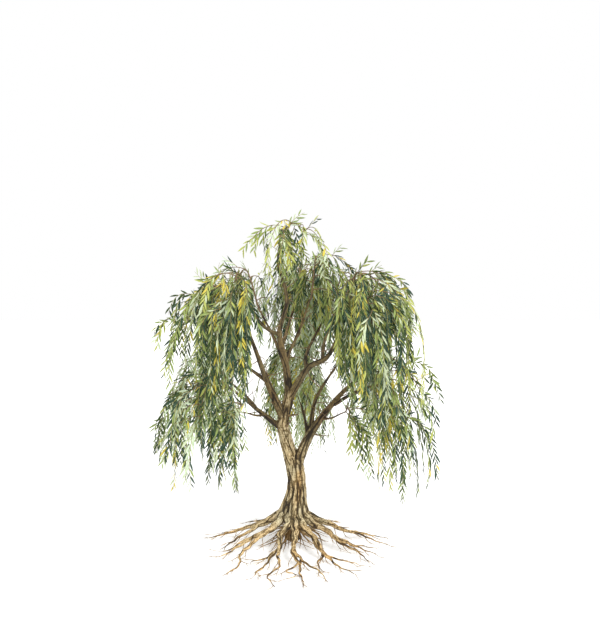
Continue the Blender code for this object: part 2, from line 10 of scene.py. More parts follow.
import bpy
import numpy as np
from bpy.props import FloatProperty, FloatVectorProperty, PointerProperty
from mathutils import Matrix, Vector, noise


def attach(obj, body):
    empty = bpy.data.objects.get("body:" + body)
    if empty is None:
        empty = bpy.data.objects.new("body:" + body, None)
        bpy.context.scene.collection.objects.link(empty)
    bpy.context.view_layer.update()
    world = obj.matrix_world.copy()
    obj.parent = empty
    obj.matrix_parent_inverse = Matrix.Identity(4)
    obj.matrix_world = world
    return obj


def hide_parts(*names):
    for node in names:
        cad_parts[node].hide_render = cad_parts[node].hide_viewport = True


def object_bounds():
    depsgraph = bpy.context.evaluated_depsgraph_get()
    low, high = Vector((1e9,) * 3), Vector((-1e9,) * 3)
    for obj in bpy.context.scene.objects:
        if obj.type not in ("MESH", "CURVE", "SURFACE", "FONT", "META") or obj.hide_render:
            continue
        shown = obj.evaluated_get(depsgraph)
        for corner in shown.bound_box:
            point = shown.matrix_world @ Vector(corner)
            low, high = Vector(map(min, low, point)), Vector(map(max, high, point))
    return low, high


bl_info = {
    "name": "Weeping willow",
    "version": (1, 0, 0),
    "blender": (4, 5, 0),
    "location": "View3D > Sidebar > Willow",
    "description": "Grows the bark, twigs and leaves of a weeping willow over its solid limbs",
    "category": "Add Mesh",
}

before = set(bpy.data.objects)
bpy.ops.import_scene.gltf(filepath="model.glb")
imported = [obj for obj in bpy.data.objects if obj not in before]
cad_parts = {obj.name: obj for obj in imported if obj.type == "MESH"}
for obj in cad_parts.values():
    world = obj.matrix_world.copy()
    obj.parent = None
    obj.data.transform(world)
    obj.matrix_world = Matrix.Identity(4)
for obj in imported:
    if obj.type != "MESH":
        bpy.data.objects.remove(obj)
CAD_BOX = [tuple(corner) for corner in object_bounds()]
BODY = "root"

# Sizes that the solids follow too, in metres.
TRUNK_RADIUS = 0.22
ROOT_REACH = 2.35
GAP = 0.0003
SEED = 11

Ring = namedtuple("Ring", "height shift radius")
TRUNK_RINGS = [
    Ring(0.00, 0.00, 1.10),
    Ring(0.26, 0.00, 1.25),
    Ring(0.50, 0.00, 1.40),
    Ring(0.74, 0.02, 1.34),
    Ring(0.98, 0.05, 1.12),
    Ring(1.22, 0.09, 1.00),
    Ring(1.48, 0.09, 0.99),
    Ring(1.74, 0.05, 1.05),
    Ring(1.92, 0.03, 1.00),
    Ring(2.03, 0.02, 0.55),
]

# A limb starts inside its parent, tapers from base to tip radius and follows its points.
Limb = namedtuple("Limb", "name parent base tip points")
LIMBS = [
    Limb("stem_left", "trunk", 0.190, 0.125, [
        (0.03, 0.00, 1.70), (-0.22, 0.01, 2.60), (-0.23, 0.03, 2.90), (-0.05, 0.02, 3.56)]),
    Limb("limb_right", "trunk", 0.150, 0.045, [
        (0.07, 0.00, 1.72), (0.31, -0.04, 2.34), (0.60, -0.03, 2.81), (1.06, 0.05, 3.38),
        (1.53, -0.02, 3.86)]),
    Limb("leader", "stem_left", 0.105, 0.024, [
        (-0.07, 0.02, 3.40), (-0.19, 0.05, 4.28), (-0.33, 0.05, 4.98), (-0.15, 0.06, 5.78),
        (-0.36, 0.04, 6.69), (-0.29, 0.03, 7.25)]),
    Limb("bough_right_centre", "stem_left", 0.105, 0.032, [
        (-0.12, 0.02, 3.36), (0.36, -0.18, 4.14), (0.84, -0.42, 4.46), (1.22, -0.84, 5.40)]),
    Limb("bough_left_mid", "stem_left", 0.110, 0.032, [
        (-0.20, 0.02, 2.84), (-0.63, -0.16, 3.86), (-0.86, -0.40, 4.54), (-1.14, -0.84, 5.40)]),
    Limb("bough_left_low", "stem_left", 0.085, 0.032, [
        (-0.22, 0.02, 2.62), (-0.69, -0.05, 3.00), (-1.38, -0.06, 3.55)]),
    Limb("bough_left_fore", "bough_left_low", 0.045, 0.026, [
        (-0.90, -0.08, 3.20), (-1.16, -0.50, 3.58), (-1.42, -1.06, 3.92)]),
    Limb("bough_left_inner", "bough_left_low", 0.034, 0.020, [
        (-0.70, -0.05, 3.00), (-0.86, -0.26, 3.02), (-1.12, -0.42, 3.12)]),
    Limb("bough_left_side", "bough_left_mid", 0.052, 0.026, [
        (-0.62, -0.15, 3.82), (-1.17, 0.40, 4.14), (-1.52, 0.86, 4.30)]),
    Limb("bough_left_top", "leader", 0.048, 0.026, [
        (-0.32, 0.05, 4.92), (-0.72, 0.07, 5.15), (-1.36, 0.02, 5.98)]),
    Limb("bough_centre", "leader", 0.050, 0.024, [
        (-0.19, 0.05, 4.34), (0.10, 0.18, 4.90), (0.42, 0.30, 5.80)]),
    Limb("bough_right_rear", "bough_right_centre", 0.050, 0.026, [
        (0.32, -0.16, 4.10), (0.34, 0.02, 4.50), (0.84, 0.86, 5.40)]),
    Limb("bough_right_top", "bough_right_centre", 0.046, 0.026, [
        (0.70, -0.34, 4.36), (0.76, -0.16, 4.80), (1.20, -0.02, 6.00)]),
    Limb("snag", "limb_right", 0.056, 0.014, [
        (0.36, -0.04, 2.46), (0.28, 0.06, 2.92), (0.12, 0.14, 3.44)]),
    Limb("snag_side", "snag", 0.024, 0.012, [
        (0.28, 0.06, 2.94), (0.32, 0.12, 3.24), (0.39, 0.16, 3.60)]),
    Limb("bough_right_mid", "limb_right", 0.066, 0.026, [
        (0.43, -0.03, 2.60), (0.56, 0.24, 3.34), (1.16, 0.92, 4.20)]),
    Limb("bough_right_low", "limb_right", 0.052, 0.028, [
        (1.00, 0.03, 3.24), (1.46, -0.22, 3.56), (1.92, -0.68, 3.80)]),
    Limb("bough_right_inner", "limb_right", 0.032, 0.020, [
        (0.70, -0.04, 2.90), (0.92, -0.24, 2.96), (1.16, -0.38, 3.10)]),
    Limb("bough_back_low", "stem_left", 0.070, 0.028, [
        (-0.20, 0.04, 2.76), (-0.19, 0.60, 3.44), (-0.16, 1.30, 4.06)]),
    Limb("bough_back_left", "leader", 0.060, 0.028, [
        (-0.10, 0.03, 3.90), (-0.44, 0.54, 4.74), (-0.86, 1.08, 5.50)]),
    Limb("bough_back_top", "leader", 0.052, 0.026, [
        (-0.27, 0.05, 4.62), (-0.08, 0.56, 5.28), (0.12, 1.08, 5.90)]),
]
# A mass of foliage grows from a bough's tip. Its stem arches over its crest and ends at its
# bearing and reach. Its sprays leave the stem on both sides, up to spread degrees from its
# run, and their strands hang to about the hem. Mix names the colours of its strands.
Mass = namedtuple(
    "Mass", "name bough bearing reach crest end hem run spread sprays strands ragged mix")
MASSES = [
    Mass("foliage_crown_top", "leader", 354, 0.34, 7.62, 7.35, 5.70, 0.72, 165, 9, 3, 1.9, "sunlit"),
    Mass("foliage_upper_left", "bough_left_top", 178, 2.65, 6.10, 5.00, 3.85, 0.36, 60, 7, 3, 1.2, "edge"),
    Mass("foliage_upper_fore_left", "bough_left_mid", 236, 2.30, 6.35, 5.30, 3.35, 0.62, 80, 16, 5, 1.9, "front"),
    Mass("foliage_upper_back_left", "bough_back_left", 134, 2.60, 6.60, 5.20, 3.70, 0.62, 80, 10, 5, 2.0, "shaded"),
    Mass("foliage_upper_back", "bough_back_top", 84, 2.60, 6.80, 5.40, 3.70, 0.62, 80, 15, 7, 2.2, "shaded"),
    Mass("foliage_upper_back_right", "bough_right_rear", 38, 2.60, 6.50, 5.20, 3.60, 0.60, 80, 8, 5, 2.0, "shaded"),
    Mass("foliage_upper_right", "bough_right_top", 1, 2.45, 6.42, 5.30, 4.30, 0.36, 60, 7, 4, 1.4, "edge"),
    Mass("foliage_upper_fore_right", "bough_right_centre", 314, 2.45, 6.36, 5.20, 3.00, 0.64, 75, 14, 5, 2.0, "front"),
    Mass("foliage_centre", "bough_centre", 40, 1.00, 6.85, 6.30, 4.20, 0.62, 120, 10, 5, 2.2, "front"),
    Mass("foliage_lower_left", "bough_left_low", 182, 2.82, 3.90, 2.90, 1.80, 0.40, 65, 4, 3, 1.1, "bluish"),
    Mass("foliage_lower_fore_left", "bough_left_fore", 221, 2.65, 4.20, 3.10, 1.50, 0.52, 65, 7, 4, 2.0, "bluish"),
    Mass("foliage_lower_back_left", "bough_left_side", 146, 2.85, 4.70, 3.30, 1.60, 0.55, 75, 8, 5, 2.0, "shaded"),
    Mass("foliage_lower_back", "bough_back_low", 86, 2.70, 4.60, 3.20, 1.40, 0.60, 75, 13, 9, 1.9, "shaded"),
    Mass("foliage_lower_back_right", "bough_right_mid", 48, 2.85, 4.60, 3.20, 1.60, 0.60, 75, 7, 5, 2.0, "shaded"),
    Mass("foliage_lower_right", "limb_right", 1, 3.12, 4.40, 3.50, 2.45, 0.36, 60, 4, 3, 1.9, "edge"),
    Mass("foliage_lower_fore_right", "bough_right_low", 322, 2.75, 4.20, 3.10, 1.30, 0.55, 70, 8, 4, 2.0, "front"),
    Mass("foliage_inner_left", "bough_left_inner", 212, 1.50, 3.35, 3.00, 1.35, 0.42, 80, 7, 4, 1.6, "bluish"),
    Mass("foliage_inner_right", "bough_right_inner", 334, 1.50, 3.30, 3.00, 1.45, 0.42, 80, 5, 3, 1.4, "edge"),
]

# Shares of the leaf colours in a mass, in the order of the colours in LEAF_COLOURS.
MIXES = {
    "front": (0.28, 0.17, 0.22, 0.12, 0.05, 0.14, 0.02),
    "edge": (0.10, 0.16, 0.28, 0.20, 0.04, 0.17, 0.05),
    "sunlit": (0.08, 0.14, 0.26, 0.24, 0.06, 0.16, 0.06),
    "bluish": (0.30, 0.12, 0.18, 0.08, 0.02, 0.14, 0.16),
    "shaded": (0.10, 0.06, 0.17, 0.11, 0.02, 0.20, 0.34),
}
# How a mix's leaves differ from the common sizes: shares of spacing, width and angle.
HABITS = {
    "front": (0.88, 0.84, 0.85),
    "edge": (1.20, 1.04, 1.10),
    "sunlit": (1.12, 0.96, 1.05),
    "bluish": (1.00, 0.92, 0.95),
    "shaded": (1.15, 0.86, 0.95),
}
LEAF_COLOURS = ("bluish_green", "deep_green", "mid_green", "yellow_green", "golden", "silvery", "pale")

# A root leaves the trunk at its start bearing and ends at its own bearing, at a share of
# ROOT_REACH. Thick is its radius near the trunk in metres.
Root = namedtuple("Root", "name start bearing reach thick forks")
# A fork starts at a share along its root and ends at its bearing and share of ROOT_REACH.
Fork = namedtuple("Fork", "share bearing reach")
ROOTS = [
    Root("root_left", 184, 180, 0.94, 0.115, [Fork(0.38, 203, 0.78), Fork(0.55, 170, 0.80)]),
    Root("root_fore_left", 222, 214, 0.91, 0.120, [Fork(0.34, 236, 1.10), Fork(0.52, 205, 0.80)]),
    Root("root_front_left", 256, 250, 1.06, 0.105, [Fork(0.40, 264, 1.19), Fork(0.52, 239, 0.76)]),
    Root("root_front_right", 272, 275, 1.21, 0.105, [Fork(0.40, 287, 1.10), Fork(0.60, 267, 0.98)]),
    Root("root_fore_right", 296, 303, 1.10, 0.110, [Fork(0.36, 289, 0.89), Fork(0.56, 312, 0.94)]),
    Root("root_right_front", 328, 333, 0.94, 0.115, [Fork(0.36, 318, 0.97), Fork(0.56, 342, 0.80)]),
    Root("root_right", 2, 0, 1.00, 0.110, [Fork(0.42, 351, 0.98), Fork(0.54, 12, 0.78)]),
    Root("root_back_right", 42, 44, 0.74, 0.115, [Fork(0.40, 28, 0.66), Fork(0.55, 57, 0.68)]),
    Root("root_back", 90, 90, 0.70, 0.120, [Fork(0.40, 76, 0.66), Fork(0.55, 105, 0.66)]),
    Root("root_back_left", 138, 138, 0.74, 0.115, [Fork(0.40, 124, 0.66), Fork(0.55, 154, 0.68)]),
]
# The longest root's way down from the trunk: distance out from the axis and height, in metres.
ROOT_DESCENT = [(0.05, 0.76), (0.24, 0.65), (0.50, 0.50), (0.82, 0.37), (1.25, 0.23), (1.80, 0.09)]
# The share of a root's reach at which its way down ends, and its height in radii from there on.
DESCENT_SHARE = 0.82
ROOT_LIFT = 0.3
# A root's radius: share of its length, and share of its radius near the trunk.
ROOT_TAPER = [(0.0, 1.0), (0.2, 0.86), (0.38, 0.52), (0.6, 0.30), (0.85, 0.15), (1.0, 0.05)]
FORK_TAPER = 0.8
FORK_SHARES = (0.25, 0.5, 0.75)
# How early a fork bends to its bearing, and how early it falls to the ground.
FORK_BEND = 0.8
FORK_FALL = 1.3
SWAY_STEP = 2.2
SNAKING = 3.5
ROOT_TIP_RADIUS = 0.008
ROOT_POINTS = 52

# The space in front of the limbs that the foliage leaves open: centre and half sizes on X and Z.
WINDOW_CENTRE = (0.10, 3.55)
WINDOW_HALF = (0.94, 1.55)
WINDOW_BACK = 0.25


# Painted shade in the creases: they are found by evening out the bark this many times, and the painted shade is
# darkest where they lie this far below.
HOLLOW_ROUNDS = 14
HOLLOW_DEPTH = 0.011
# The flutes that are worn to an ochre streak, how wide it is, and its tint.
STREAKED = (3, 7, 9)
STREAK_WIDTH = 0.075
OCHRE = (1.0, 0.74, 0.42)
# How much darker thin limbs and the flare are than the trunk: radii or heights, and shares.
LIMB_SHADE = ([0.05, 0.10, 0.15], [0.28, 0.20, 0.0])
FLARE_SHADE = ([0.0, 0.75, 1.05], [-0.08, 0.02, 0.0])


class WillowSizes(bpy.types.PropertyGroup):
    leaf_length: FloatProperty(
        name="Leaf length", description="Length of a leaf in the middle of a strand",
        default=0.25, unit="LENGTH")
    leaf_width: FloatProperty(
        name="Leaf width", description="Width of a leaf at its middle", default=0.052, unit="LENGTH")
    leaf_spacing: FloatProperty(
        name="Leaf spacing", description="Distance along a strand from leaf to leaf",
        default=0.072, unit="LENGTH")
    leaf_angle: FloatProperty(
        name="Leaf angle", description="Angle between a leaf and its strand",
        default=math.radians(27), subtype="ANGLE")
    strand_thickness: FloatProperty(
        name="Strand thickness", description="Radius of a hanging strand at its root",
        default=0.009, unit="LENGTH")
    ridge_width: FloatProperty(
        name="Bark ridge", description="Width of a ridge of the bark on the trunk",
        default=0.055, unit="LENGTH")
    ridge_height: FloatProperty(
        name="Bark relief", description="Depth of the furrows of the bark on the trunk",
        default=0.020, unit="LENGTH")
    grain: FloatProperty(
        name="Wood grain size", description="Size of the cells that the bark is shaped from",
        default=0.0152, unit="LENGTH")


class WillowColours(bpy.types.PropertyGroup):
    bark_light: FloatVectorProperty(
        name="Bark, ridges", description="Colour of the ridges of the bark", subtype="COLOR",
        default=(0.82, 0.70, 0.48))
    bark_mid: FloatVectorProperty(
        name="Bark, flanks", description="Colour between ridges and furrows", subtype="COLOR",
        default=(0.235, 0.172, 0.080))
    # The painted shade in creases, between the flutes and on undersides also darkens the bark towards the flanks'
    # colour and this one.
    bark_dark: FloatVectorProperty(
        name="Bark, furrows", description="Colour of the furrows of the bark", subtype="COLOR",
        default=(0.032, 0.021, 0.010))
    rootlet: FloatVectorProperty(
        name="Rootlets", description="Colour of the thin rootlets", subtype="COLOR",
        default=(0.40, 0.25, 0.095))
    twig: FloatVectorProperty(
        name="Twigs", description="Colour of the arching twigs", subtype="COLOR",
        default=(0.24, 0.15, 0.07))
    strand: FloatVectorProperty(
        name="Strands", description="Colour of the hanging strands", subtype="COLOR",
        default=(0.40, 0.36, 0.12))
    bluish_green: FloatVectorProperty(
        name="Leaf, bluish green", description="Shaded leaves with a blue cast", subtype="COLOR",
        default=(0.026, 0.062, 0.033))
    # Partly the leaves' own dark green and partly painted shade for leaves deep in the crown; it is dealt among the
    # other leaves at random, wherever they hang.
    deep_green: FloatVectorProperty(
        name="Leaf, deep green", description="Leaves deep in the crown", subtype="COLOR",
        default=(0.042, 0.074, 0.015))
    mid_green: FloatVectorProperty(
        name="Leaf, mid green", description="The commonest leaves", subtype="COLOR",
        default=(0.25, 0.32, 0.090))
    yellow_green: FloatVectorProperty(
        name="Leaf, yellow green", description="Young sunlit leaves", subtype="COLOR",
        default=(0.41, 0.45, 0.11))
    golden: FloatVectorProperty(
        name="Leaf, golden", description="Yellowing leaves", subtype="COLOR",
        default=(0.56, 0.47, 0.06))
    silvery: FloatVectorProperty(
        name="Leaf, silvery", description="Leaves that show their grey underside", subtype="COLOR",
        default=(0.52, 0.59, 0.38))
    pale: FloatVectorProperty(
        name="Leaf, pale", description="Thin, pale leaves far inside the crown", subtype="COLOR",
        default=(0.52, 0.62, 0.42))


class WillowStage(bpy.types.PropertyGroup):
    floor_size: FloatProperty(
        name="Floor size", description="Side of the pale floor", default=600.0, unit="LENGTH")
    sky_strength: FloatProperty(
        name="Sky strength", description="Brightness of the white surroundings", default=1.0)
    key_strength: FloatProperty(
        name="Key light", description="Strength of the soft light from the upper right",
        default=2.2)
    lens: FloatProperty(
        name="Lens", description="Focal length on a 36 mm sensor, in millimetres", default=36.58)
    camera_place: FloatVectorProperty(
        name="Camera place", description="Where the camera stands", subtype="TRANSLATION",
        default=(0.17, -15.23, 5.53))


def unit(vectors):
    """The vectors, along the last axis, at length 1."""
    return vectors / np.maximum(np.linalg.norm(vectors, axis=-1, keepdims=True), 1e-9)


def bearing_vector(bearing):
    """The level unit vector at a bearing in degrees."""
    return np.array([math.cos(math.radians(bearing)), math.sin(math.radians(bearing)), 0.0])


def smooth_route(points, count):
    """Evenly spaced points along a smooth curve through the given ones."""
    knots = np.array(points, float)
    padded = np.vstack([2 * knots[0] - knots[1], knots, 2 * knots[-1] - knots[-2]])
    dense = []
    for before, start, end, after in zip(padded, padded[1:], padded[2:], padded[3:]):
        for t in np.linspace(0.0, 1.0, 16, endpoint=False):
            dense.append(0.5 * (2 * start + (end - before) * t
                                + (2 * before - 5 * start + 4 * end - after) * t ** 2
                                + (3 * start - 3 * end + after - before) * t ** 3))
    dense.append(knots[-1])
    return resample(np.array(dense), count)


def run_along(line):
    """The distance along a line at each of its points."""
    return np.concatenate([[0.0], np.cumsum(np.linalg.norm(np.diff(line, axis=0), axis=1))])


def resample(line, count):
    run = run_along(line)
    return at_run(line, np.linspace(0.0, run[-1], count))


def at_run(line, distances):
    """The points at the given distances along a line."""
    run = run_along(line)
    return np.stack([np.interp(distances, run, line[:, axis]) for axis in range(3)], axis=-1)


def taper(base, tip, count, power=1.0):
    return tip + (base - tip) * (1.0 - np.linspace(0.0, 1.0, count)) ** power


def trunk_line():
    """The trunk's centre line and radii."""
    line = np.array([(ring.shift, 0.0, ring.height) for ring in TRUNK_RINGS])
    radii = np.array([ring.radius * TRUNK_RADIUS for ring in TRUNK_RINGS])
    dense = resample(line, 40)
    return dense, np.interp(dense[:, 2], line[:, 2], radii) * np.interp(dense[:, 2], *FLUTED_BODY)


def limb_lines():
    """Each limb's centre line and radii, by name."""
    lines = {}
    for limb in LIMBS:
        line = smooth_route(limb.points, max(9, int(len(limb.points) * 6)))
        lines[limb.name] = (line, taper(limb.base, limb.tip, len(line), 1.35))
    return lines


def sway(bearing, number):
    """How far, in degrees, a root winds off its bearing at one of its points."""
    return SNAKING * math.sin(bearing + 2.2 * number)


def root_lines(root):
    """The centre lines and radii of a root and its forks, from the trunk outwards."""
    reach = root.reach * ROOT_REACH
    shorter = min(1.0, 0.82 * reach / ROOT_DESCENT[-1][0])
    points = []
    for number, (out, height) in enumerate(ROOT_DESCENT):
        bearing = root.start
        if number > 1:
            out *= shorter
            bearing += (root.bearing - root.start) * out / reach + sway(root.start, number)
        points.append(bearing_vector(bearing) * out + (0.0, 0.0, height))
    points.append(bearing_vector(root.bearing) * reach)
    line = smooth_route(points, ROOT_POINTS)
    shares, sizes = zip(*ROOT_TAPER)
    radii = root.thick * np.interp(np.linspace(0.0, 1.0, ROOT_POINTS), shares, sizes)
    lines = [(line, radii)]
    for fork in root.forks:
        lines.append(fork_line(fork, line, radii))
    return [(crooked(line, radii), radii) for line, radii in lines]


def fork_line(fork, line, radii):
    """The centre line and radii of a side root."""
    index = round(fork.share * (ROOT_POINTS - 1))
    first = line[index]
    out = math.hypot(first[0], first[1])
    heading = math.degrees(math.atan2(first[1], first[0])) % 360
    turn = (fork.bearing - heading + 180) % 360 - 180
    points = [first]
    for number, part in enumerate((0.25, 0.5, 0.75, 1.0)):
        bearing = heading + turn * part ** 0.8
        if part < 1.0:
            bearing += sway(fork.bearing, number)
        distance = out + (fork.reach * ROOT_REACH - out) * part
        points.append(bearing_vector(bearing) * distance
                      + (0.0, 0.0, first[2] * (1.0 - part) ** 1.3))
    count = ROOT_POINTS // 2
    return smooth_route(points, count), taper(FORK_TAPER * radii[index], ROOT_TIP_RADIUS, count)


def crooked(line, radii):
    """A root's line with the small kinks that the solids leave out."""
    run = run_along(line)
    bend = 0.022 * np.sin(run * 9.0 + 40.0 * line[0, 0]) + 0.016 * np.sin(run * 23.0 + line[0, 1])
    ahead = np.gradient(line, axis=0)
    across = unit(np.cross(ahead, (0.0, 0.0, 1.0)))
    fade = np.minimum(1.0, np.minimum(run, run[-1] - run) / 0.35)
    bent = line + across * (bend * fade)[:, None]
    bent[:, 2] = np.maximum(bent[:, 2], 0.3 * radii)
    return bent


# The flutes carry the trunk's outline, so its body is narrower inside them: heights and shares.
FLUTED_BODY = ([0.35, 0.90, 1.50, 1.74, 1.92, 2.03], [0.72, 0.84, 1.0, 0.95, 0.86, 0.80])
# A flute of the trunk, from its root upwards: distance out, height and turn in degrees.
FLUTE_RISE = [(0.46, 0.44, 0), (0.31, 0.64, 1), (0.235, 0.88, 4), (0.20, 1.20, 11), (0.185, 1.62, 20)]


def flute_lines():
    """Ridges that carry each root's line up the trunk, turning as they rise."""
    flutes = []
    line, _ = trunk_line()
    for root in ROOTS:
        route = []
        for out, height, turn in FLUTE_RISE:
            shift = np.interp(height, line[:, 2], line[:, 0])
            route.append(bearing_vector(root.start + turn) * out + (shift, 0.0, height))
        radii = taper(0.105, 0.024, 28, 1.3) * np.interp(np.arange(28), [0, 7], [0.62, 1.0])
        flutes.append((smooth_route(route, 28), radii))
    return flutes


def droop_line(start, heading, length, droop, wander, rng, step=0.09):
    """A twig's line: it sets out along its heading and bends over under its own weight."""
    points = [np.array(start, float)]
    heading = unit(np.array(heading, float))
    turn = rng.uniform(-1.0, 1.0, 3) * wander
    for number in range(max(3, int(length / step))):
        heading = heading + (0.0, 0.0, -droop * step)
        if number % 4 == 0:
            turn = rng.uniform(-1.0, 1.0, 3) * wander * (1.0, 1.0, 0.3)
        heading = unit(heading + turn * step)
        points.append(points[-1] + heading * step)
    return np.array(points)


def window_end(line):
    """How many points of a strand come before it enters the open space in front of the limbs."""
    x = (line[:, 0] - WINDOW_CENTRE[0]) / WINDOW_HALF[0]
    z = (line[:, 2] - WINDOW_CENTRE[1]) / WINDOW_HALF[1]
    inside = (x ** 2 + z ** 2 < 1.0) & (line[:, 1] < WINDOW_BACK)
    return int(np.argmax(inside)) if inside.any() else len(line)


def reach_end(line):
    """How many points of a twig come before it leaves the box of the solids."""
    outside = ((line < CAD_BOX[0]) | (line > CAD_BOX[1])).any(axis=1)
    return int(np.argmax(outside)) if outside.any() else len(line)


def mass_stem(mass, limbs):
    """The stem's line and radii, from the bough's tip over the crest to its end."""
    bough, radii = limbs[mass.bough]
    place, heading = bough[-1], unit(bough[-1] - bough[-2])
    end = bearing_vector(mass.bearing) * mass.reach + (0.0, 0.0, mass.end)
    level = (end - place) * (1.0, 1.0, 0.0)
    second = place + heading * 0.12
    crest = place + level * 0.42
    crest[2] = mass.crest
    shoulder = place + level * 0.78
    shoulder[2] = mass.crest - 0.36 * (mass.crest - mass.end)
    line = smooth_route([place - heading * 0.04, second, crest, shoulder, end], 30)
    return line, taper(radii[-1], 0.008, 30)


def grow_mass(mass, limbs, rng):
    """The arching sprays and hanging strands of a mass, each as a line with radii."""
    stem, stem_radii = mass_stem(mass, limbs)
    arches = [(stem, stem_radii)]
    strands = []
    shoots = []
    for share in (0.22, 0.40):
        up = bearing_vector(mass.bearing + rng.uniform(-40, 40)) * 0.7 + (0.0, 0.0, 1.0)
        first = at_run(stem, share * run_along(stem)[-1])
        shoots.append(droop_line(first, up, rng.uniform(0.35, 0.65), 0.9, 1.5, rng, 0.06))
    for number in range(mass.sprays):
        share = 0.10 + 0.88 * (number + rng.uniform(0.2, 0.8)) / mass.sprays
        root = at_run(stem, share * run_along(stem)[-1])
        side = 1 if number % 2 else -1
        turn = side * mass.spread * rng.uniform(0.45, 1.0) * (1.15 - 0.75 * share)
        heading = bearing_vector(mass.bearing + turn) + (0.0, 0.0, rng.uniform(0.15, 0.80))
        shrink = 0.55 * share * (1.0 - mass.spread / 180.0)
        length = (mass.run * rng.uniform(0.9, 1.6) + 0.2) * (1.15 - shrink)
        line = droop_line(root, heading, length, rng.uniform(1.3, 2.2), 1.2, rng)
        line = line[:max(3, reach_end(line))]
        thick = float(np.interp(share, [0.0, 1.0], [0.016, 0.009]))
        arches.append((line, taper(thick, 0.005, len(line))))
        count = max(2, round(mass.strands * rng.uniform(0.75, 1.25) * (1.2 - 0.55 * share)))
        lowest = mass.hem + mass.ragged * rng.beta(1.1, 1.7) * (0.7 + 0.5 * share)
        aside = rng.normal(0.0, 38.0)
        for strand in range(count):
            along = (strand + rng.uniform(0.3, 1.0)) / count
            first = at_run(line, along * run_along(line)[-1])
            radial = math.degrees(math.atan2(first[1], first[0]))
            out = bearing_vector(radial + aside + rng.normal(0.0, 24.0))
            drop = first[2] - lowest - rng.exponential(0.42)
            if drop < 0.35:
                continue
            lean = out * rng.uniform(0.2, 0.7) - (0.0, 0.0, rng.uniform(0.0, 0.6))
            strands.append(droop_line(first, lean, drop * 1.06 + 0.1, rng.uniform(1.6, 4.5), 0.8, rng))
        strands.append(droop_line(line[-1], line[-1] - line[-2], rng.uniform(0.4, 1.0), 4.0, 0.9, rng))
        if rng.uniform() < 0.25:
            first = at_run(line, rng.uniform(0.1, 0.6) * run_along(line)[-1])
            up = bearing_vector(mass.bearing + rng.uniform(-70, 70)) * 0.9 + (0.0, 0.0, 1.0)
            shoots.append(droop_line(first, up, rng.uniform(0.18, 0.45), 1.0, 1.5, rng, 0.06))
    for share in (0.93, 1.0):
        root = at_run(stem, share * run_along(stem)[-1])
        heading = bearing_vector(mass.bearing + rng.normal(0.0, 20.0)) + (0.0, 0.0, 0.1)
        drop = root[2] - mass.hem - rng.uniform(0.0, 0.5)
        strands.append(droop_line(root, heading, drop + 0.20, rng.uniform(2.8, 4.0), 0.6, rng))
    kept = []
    for line in strands:
        count = min(window_end(line), reach_end(line))
        if count * 0.09 > 0.45:
            kept.append(line[:count])
    clothed = [line[len(line) // 3:] for line, _ in arches if len(line) > 5]
    shoots = [line for line in shoots if reach_end(line) == len(line)]
    return arches, kept, clothed + shoots


def grow_crown():
    """Every mass's arches and strands, by the mass's name."""
    limbs = limb_lines()
    return {mass.name: grow_mass(mass, limbs, np.random.default_rng((SEED, number)))
            for number, mass in enumerate(MASSES)}


def side_twigs(rng):
    """Thin bare twigs on the outer parts of the limbs."""
    twigs = []
    for limb in LIMBS:
        line, radii = limb_lines()[limb.name]
        length = run_along(line)[-1]
        for distance in np.arange(0.35 * length, 0.98 * length, 0.22):
            root = at_run(line, distance)
            heading = unit(rng.normal(0.0, 1.0, 3) + (0.0, 0.0, 0.5))
            thick = 0.25 * float(np.interp(distance, run_along(line), radii)) + 0.002
            twig = droop_line(root, heading, rng.uniform(0.35, 0.85), -0.6, 3.2, rng, 0.07)
            twigs.append((twig, taper(thick, 0.003, len(twig))))
    return twigs


def leaf_rows(strands, sizes, habit, rng):
    """Root, heading, facing and size of every leaf of a mass's strands."""
    roots, headings, facings, scales, owners = [], [], [], [], []
    spacing, width, splay = np.array(habit) * (sizes.leaf_spacing, sizes.leaf_width, sizes.leaf_angle)
    for number, line in enumerate(strands):
        length = run_along(line)[-1]
        count = int(length / spacing)
        at = (np.arange(count) + rng.uniform(0.0, 1.0)) * spacing
        at = at[at < length]
        count = len(at)
        root = at_run(line, at)
        tangent = unit(at_run(line, at + 0.03) - at_run(line, at - 0.03))
        across = unit(np.cross(tangent, (0.0, -1.0, 0.25)))
        first = rng.normal(0.0, 0.5) if rng.uniform() < 0.65 else rng.uniform(-1.6, 1.6)
        turn = first + np.cumsum(rng.normal(0.0, 0.12, count))
        deep = unit(np.cross(across, tangent))
        side = across * np.cos(turn)[:, None] + deep * np.sin(turn)[:, None]
        side *= np.where(np.arange(count) % 2, 1.0, -1.0)[:, None]
        angle = splay * rng.uniform(0.75, 1.25, count)
        heading = tangent * np.cos(angle)[:, None] + side * np.sin(angle)[:, None]
        heading = unit(heading + rng.normal(0.0, 0.05, (count, 3)) - (0.0, 0.0, 0.14))
        roll = rng.normal(0.0, 0.4, count)[:, None]
        normal = unit(np.cross(heading, side))
        facing = normal * np.cos(roll) + side * np.sin(roll)
        ends = np.interp(at / length, [0.0, 0.12, 0.75, 1.0], [0.75, 1.0, 1.0, 0.62])
        size = ends * rng.uniform(0.72, 1.18, count)
        roots.append(root)
        headings.append(heading)
        facings.append(facing)
        scales.append(np.stack([size * width, size * sizes.leaf_length,
                                size * sizes.leaf_length], axis=1))
        owners.append(np.full(count, number))
    return [np.concatenate(rows) for rows in (roots, headings, facings, scales, owners)]


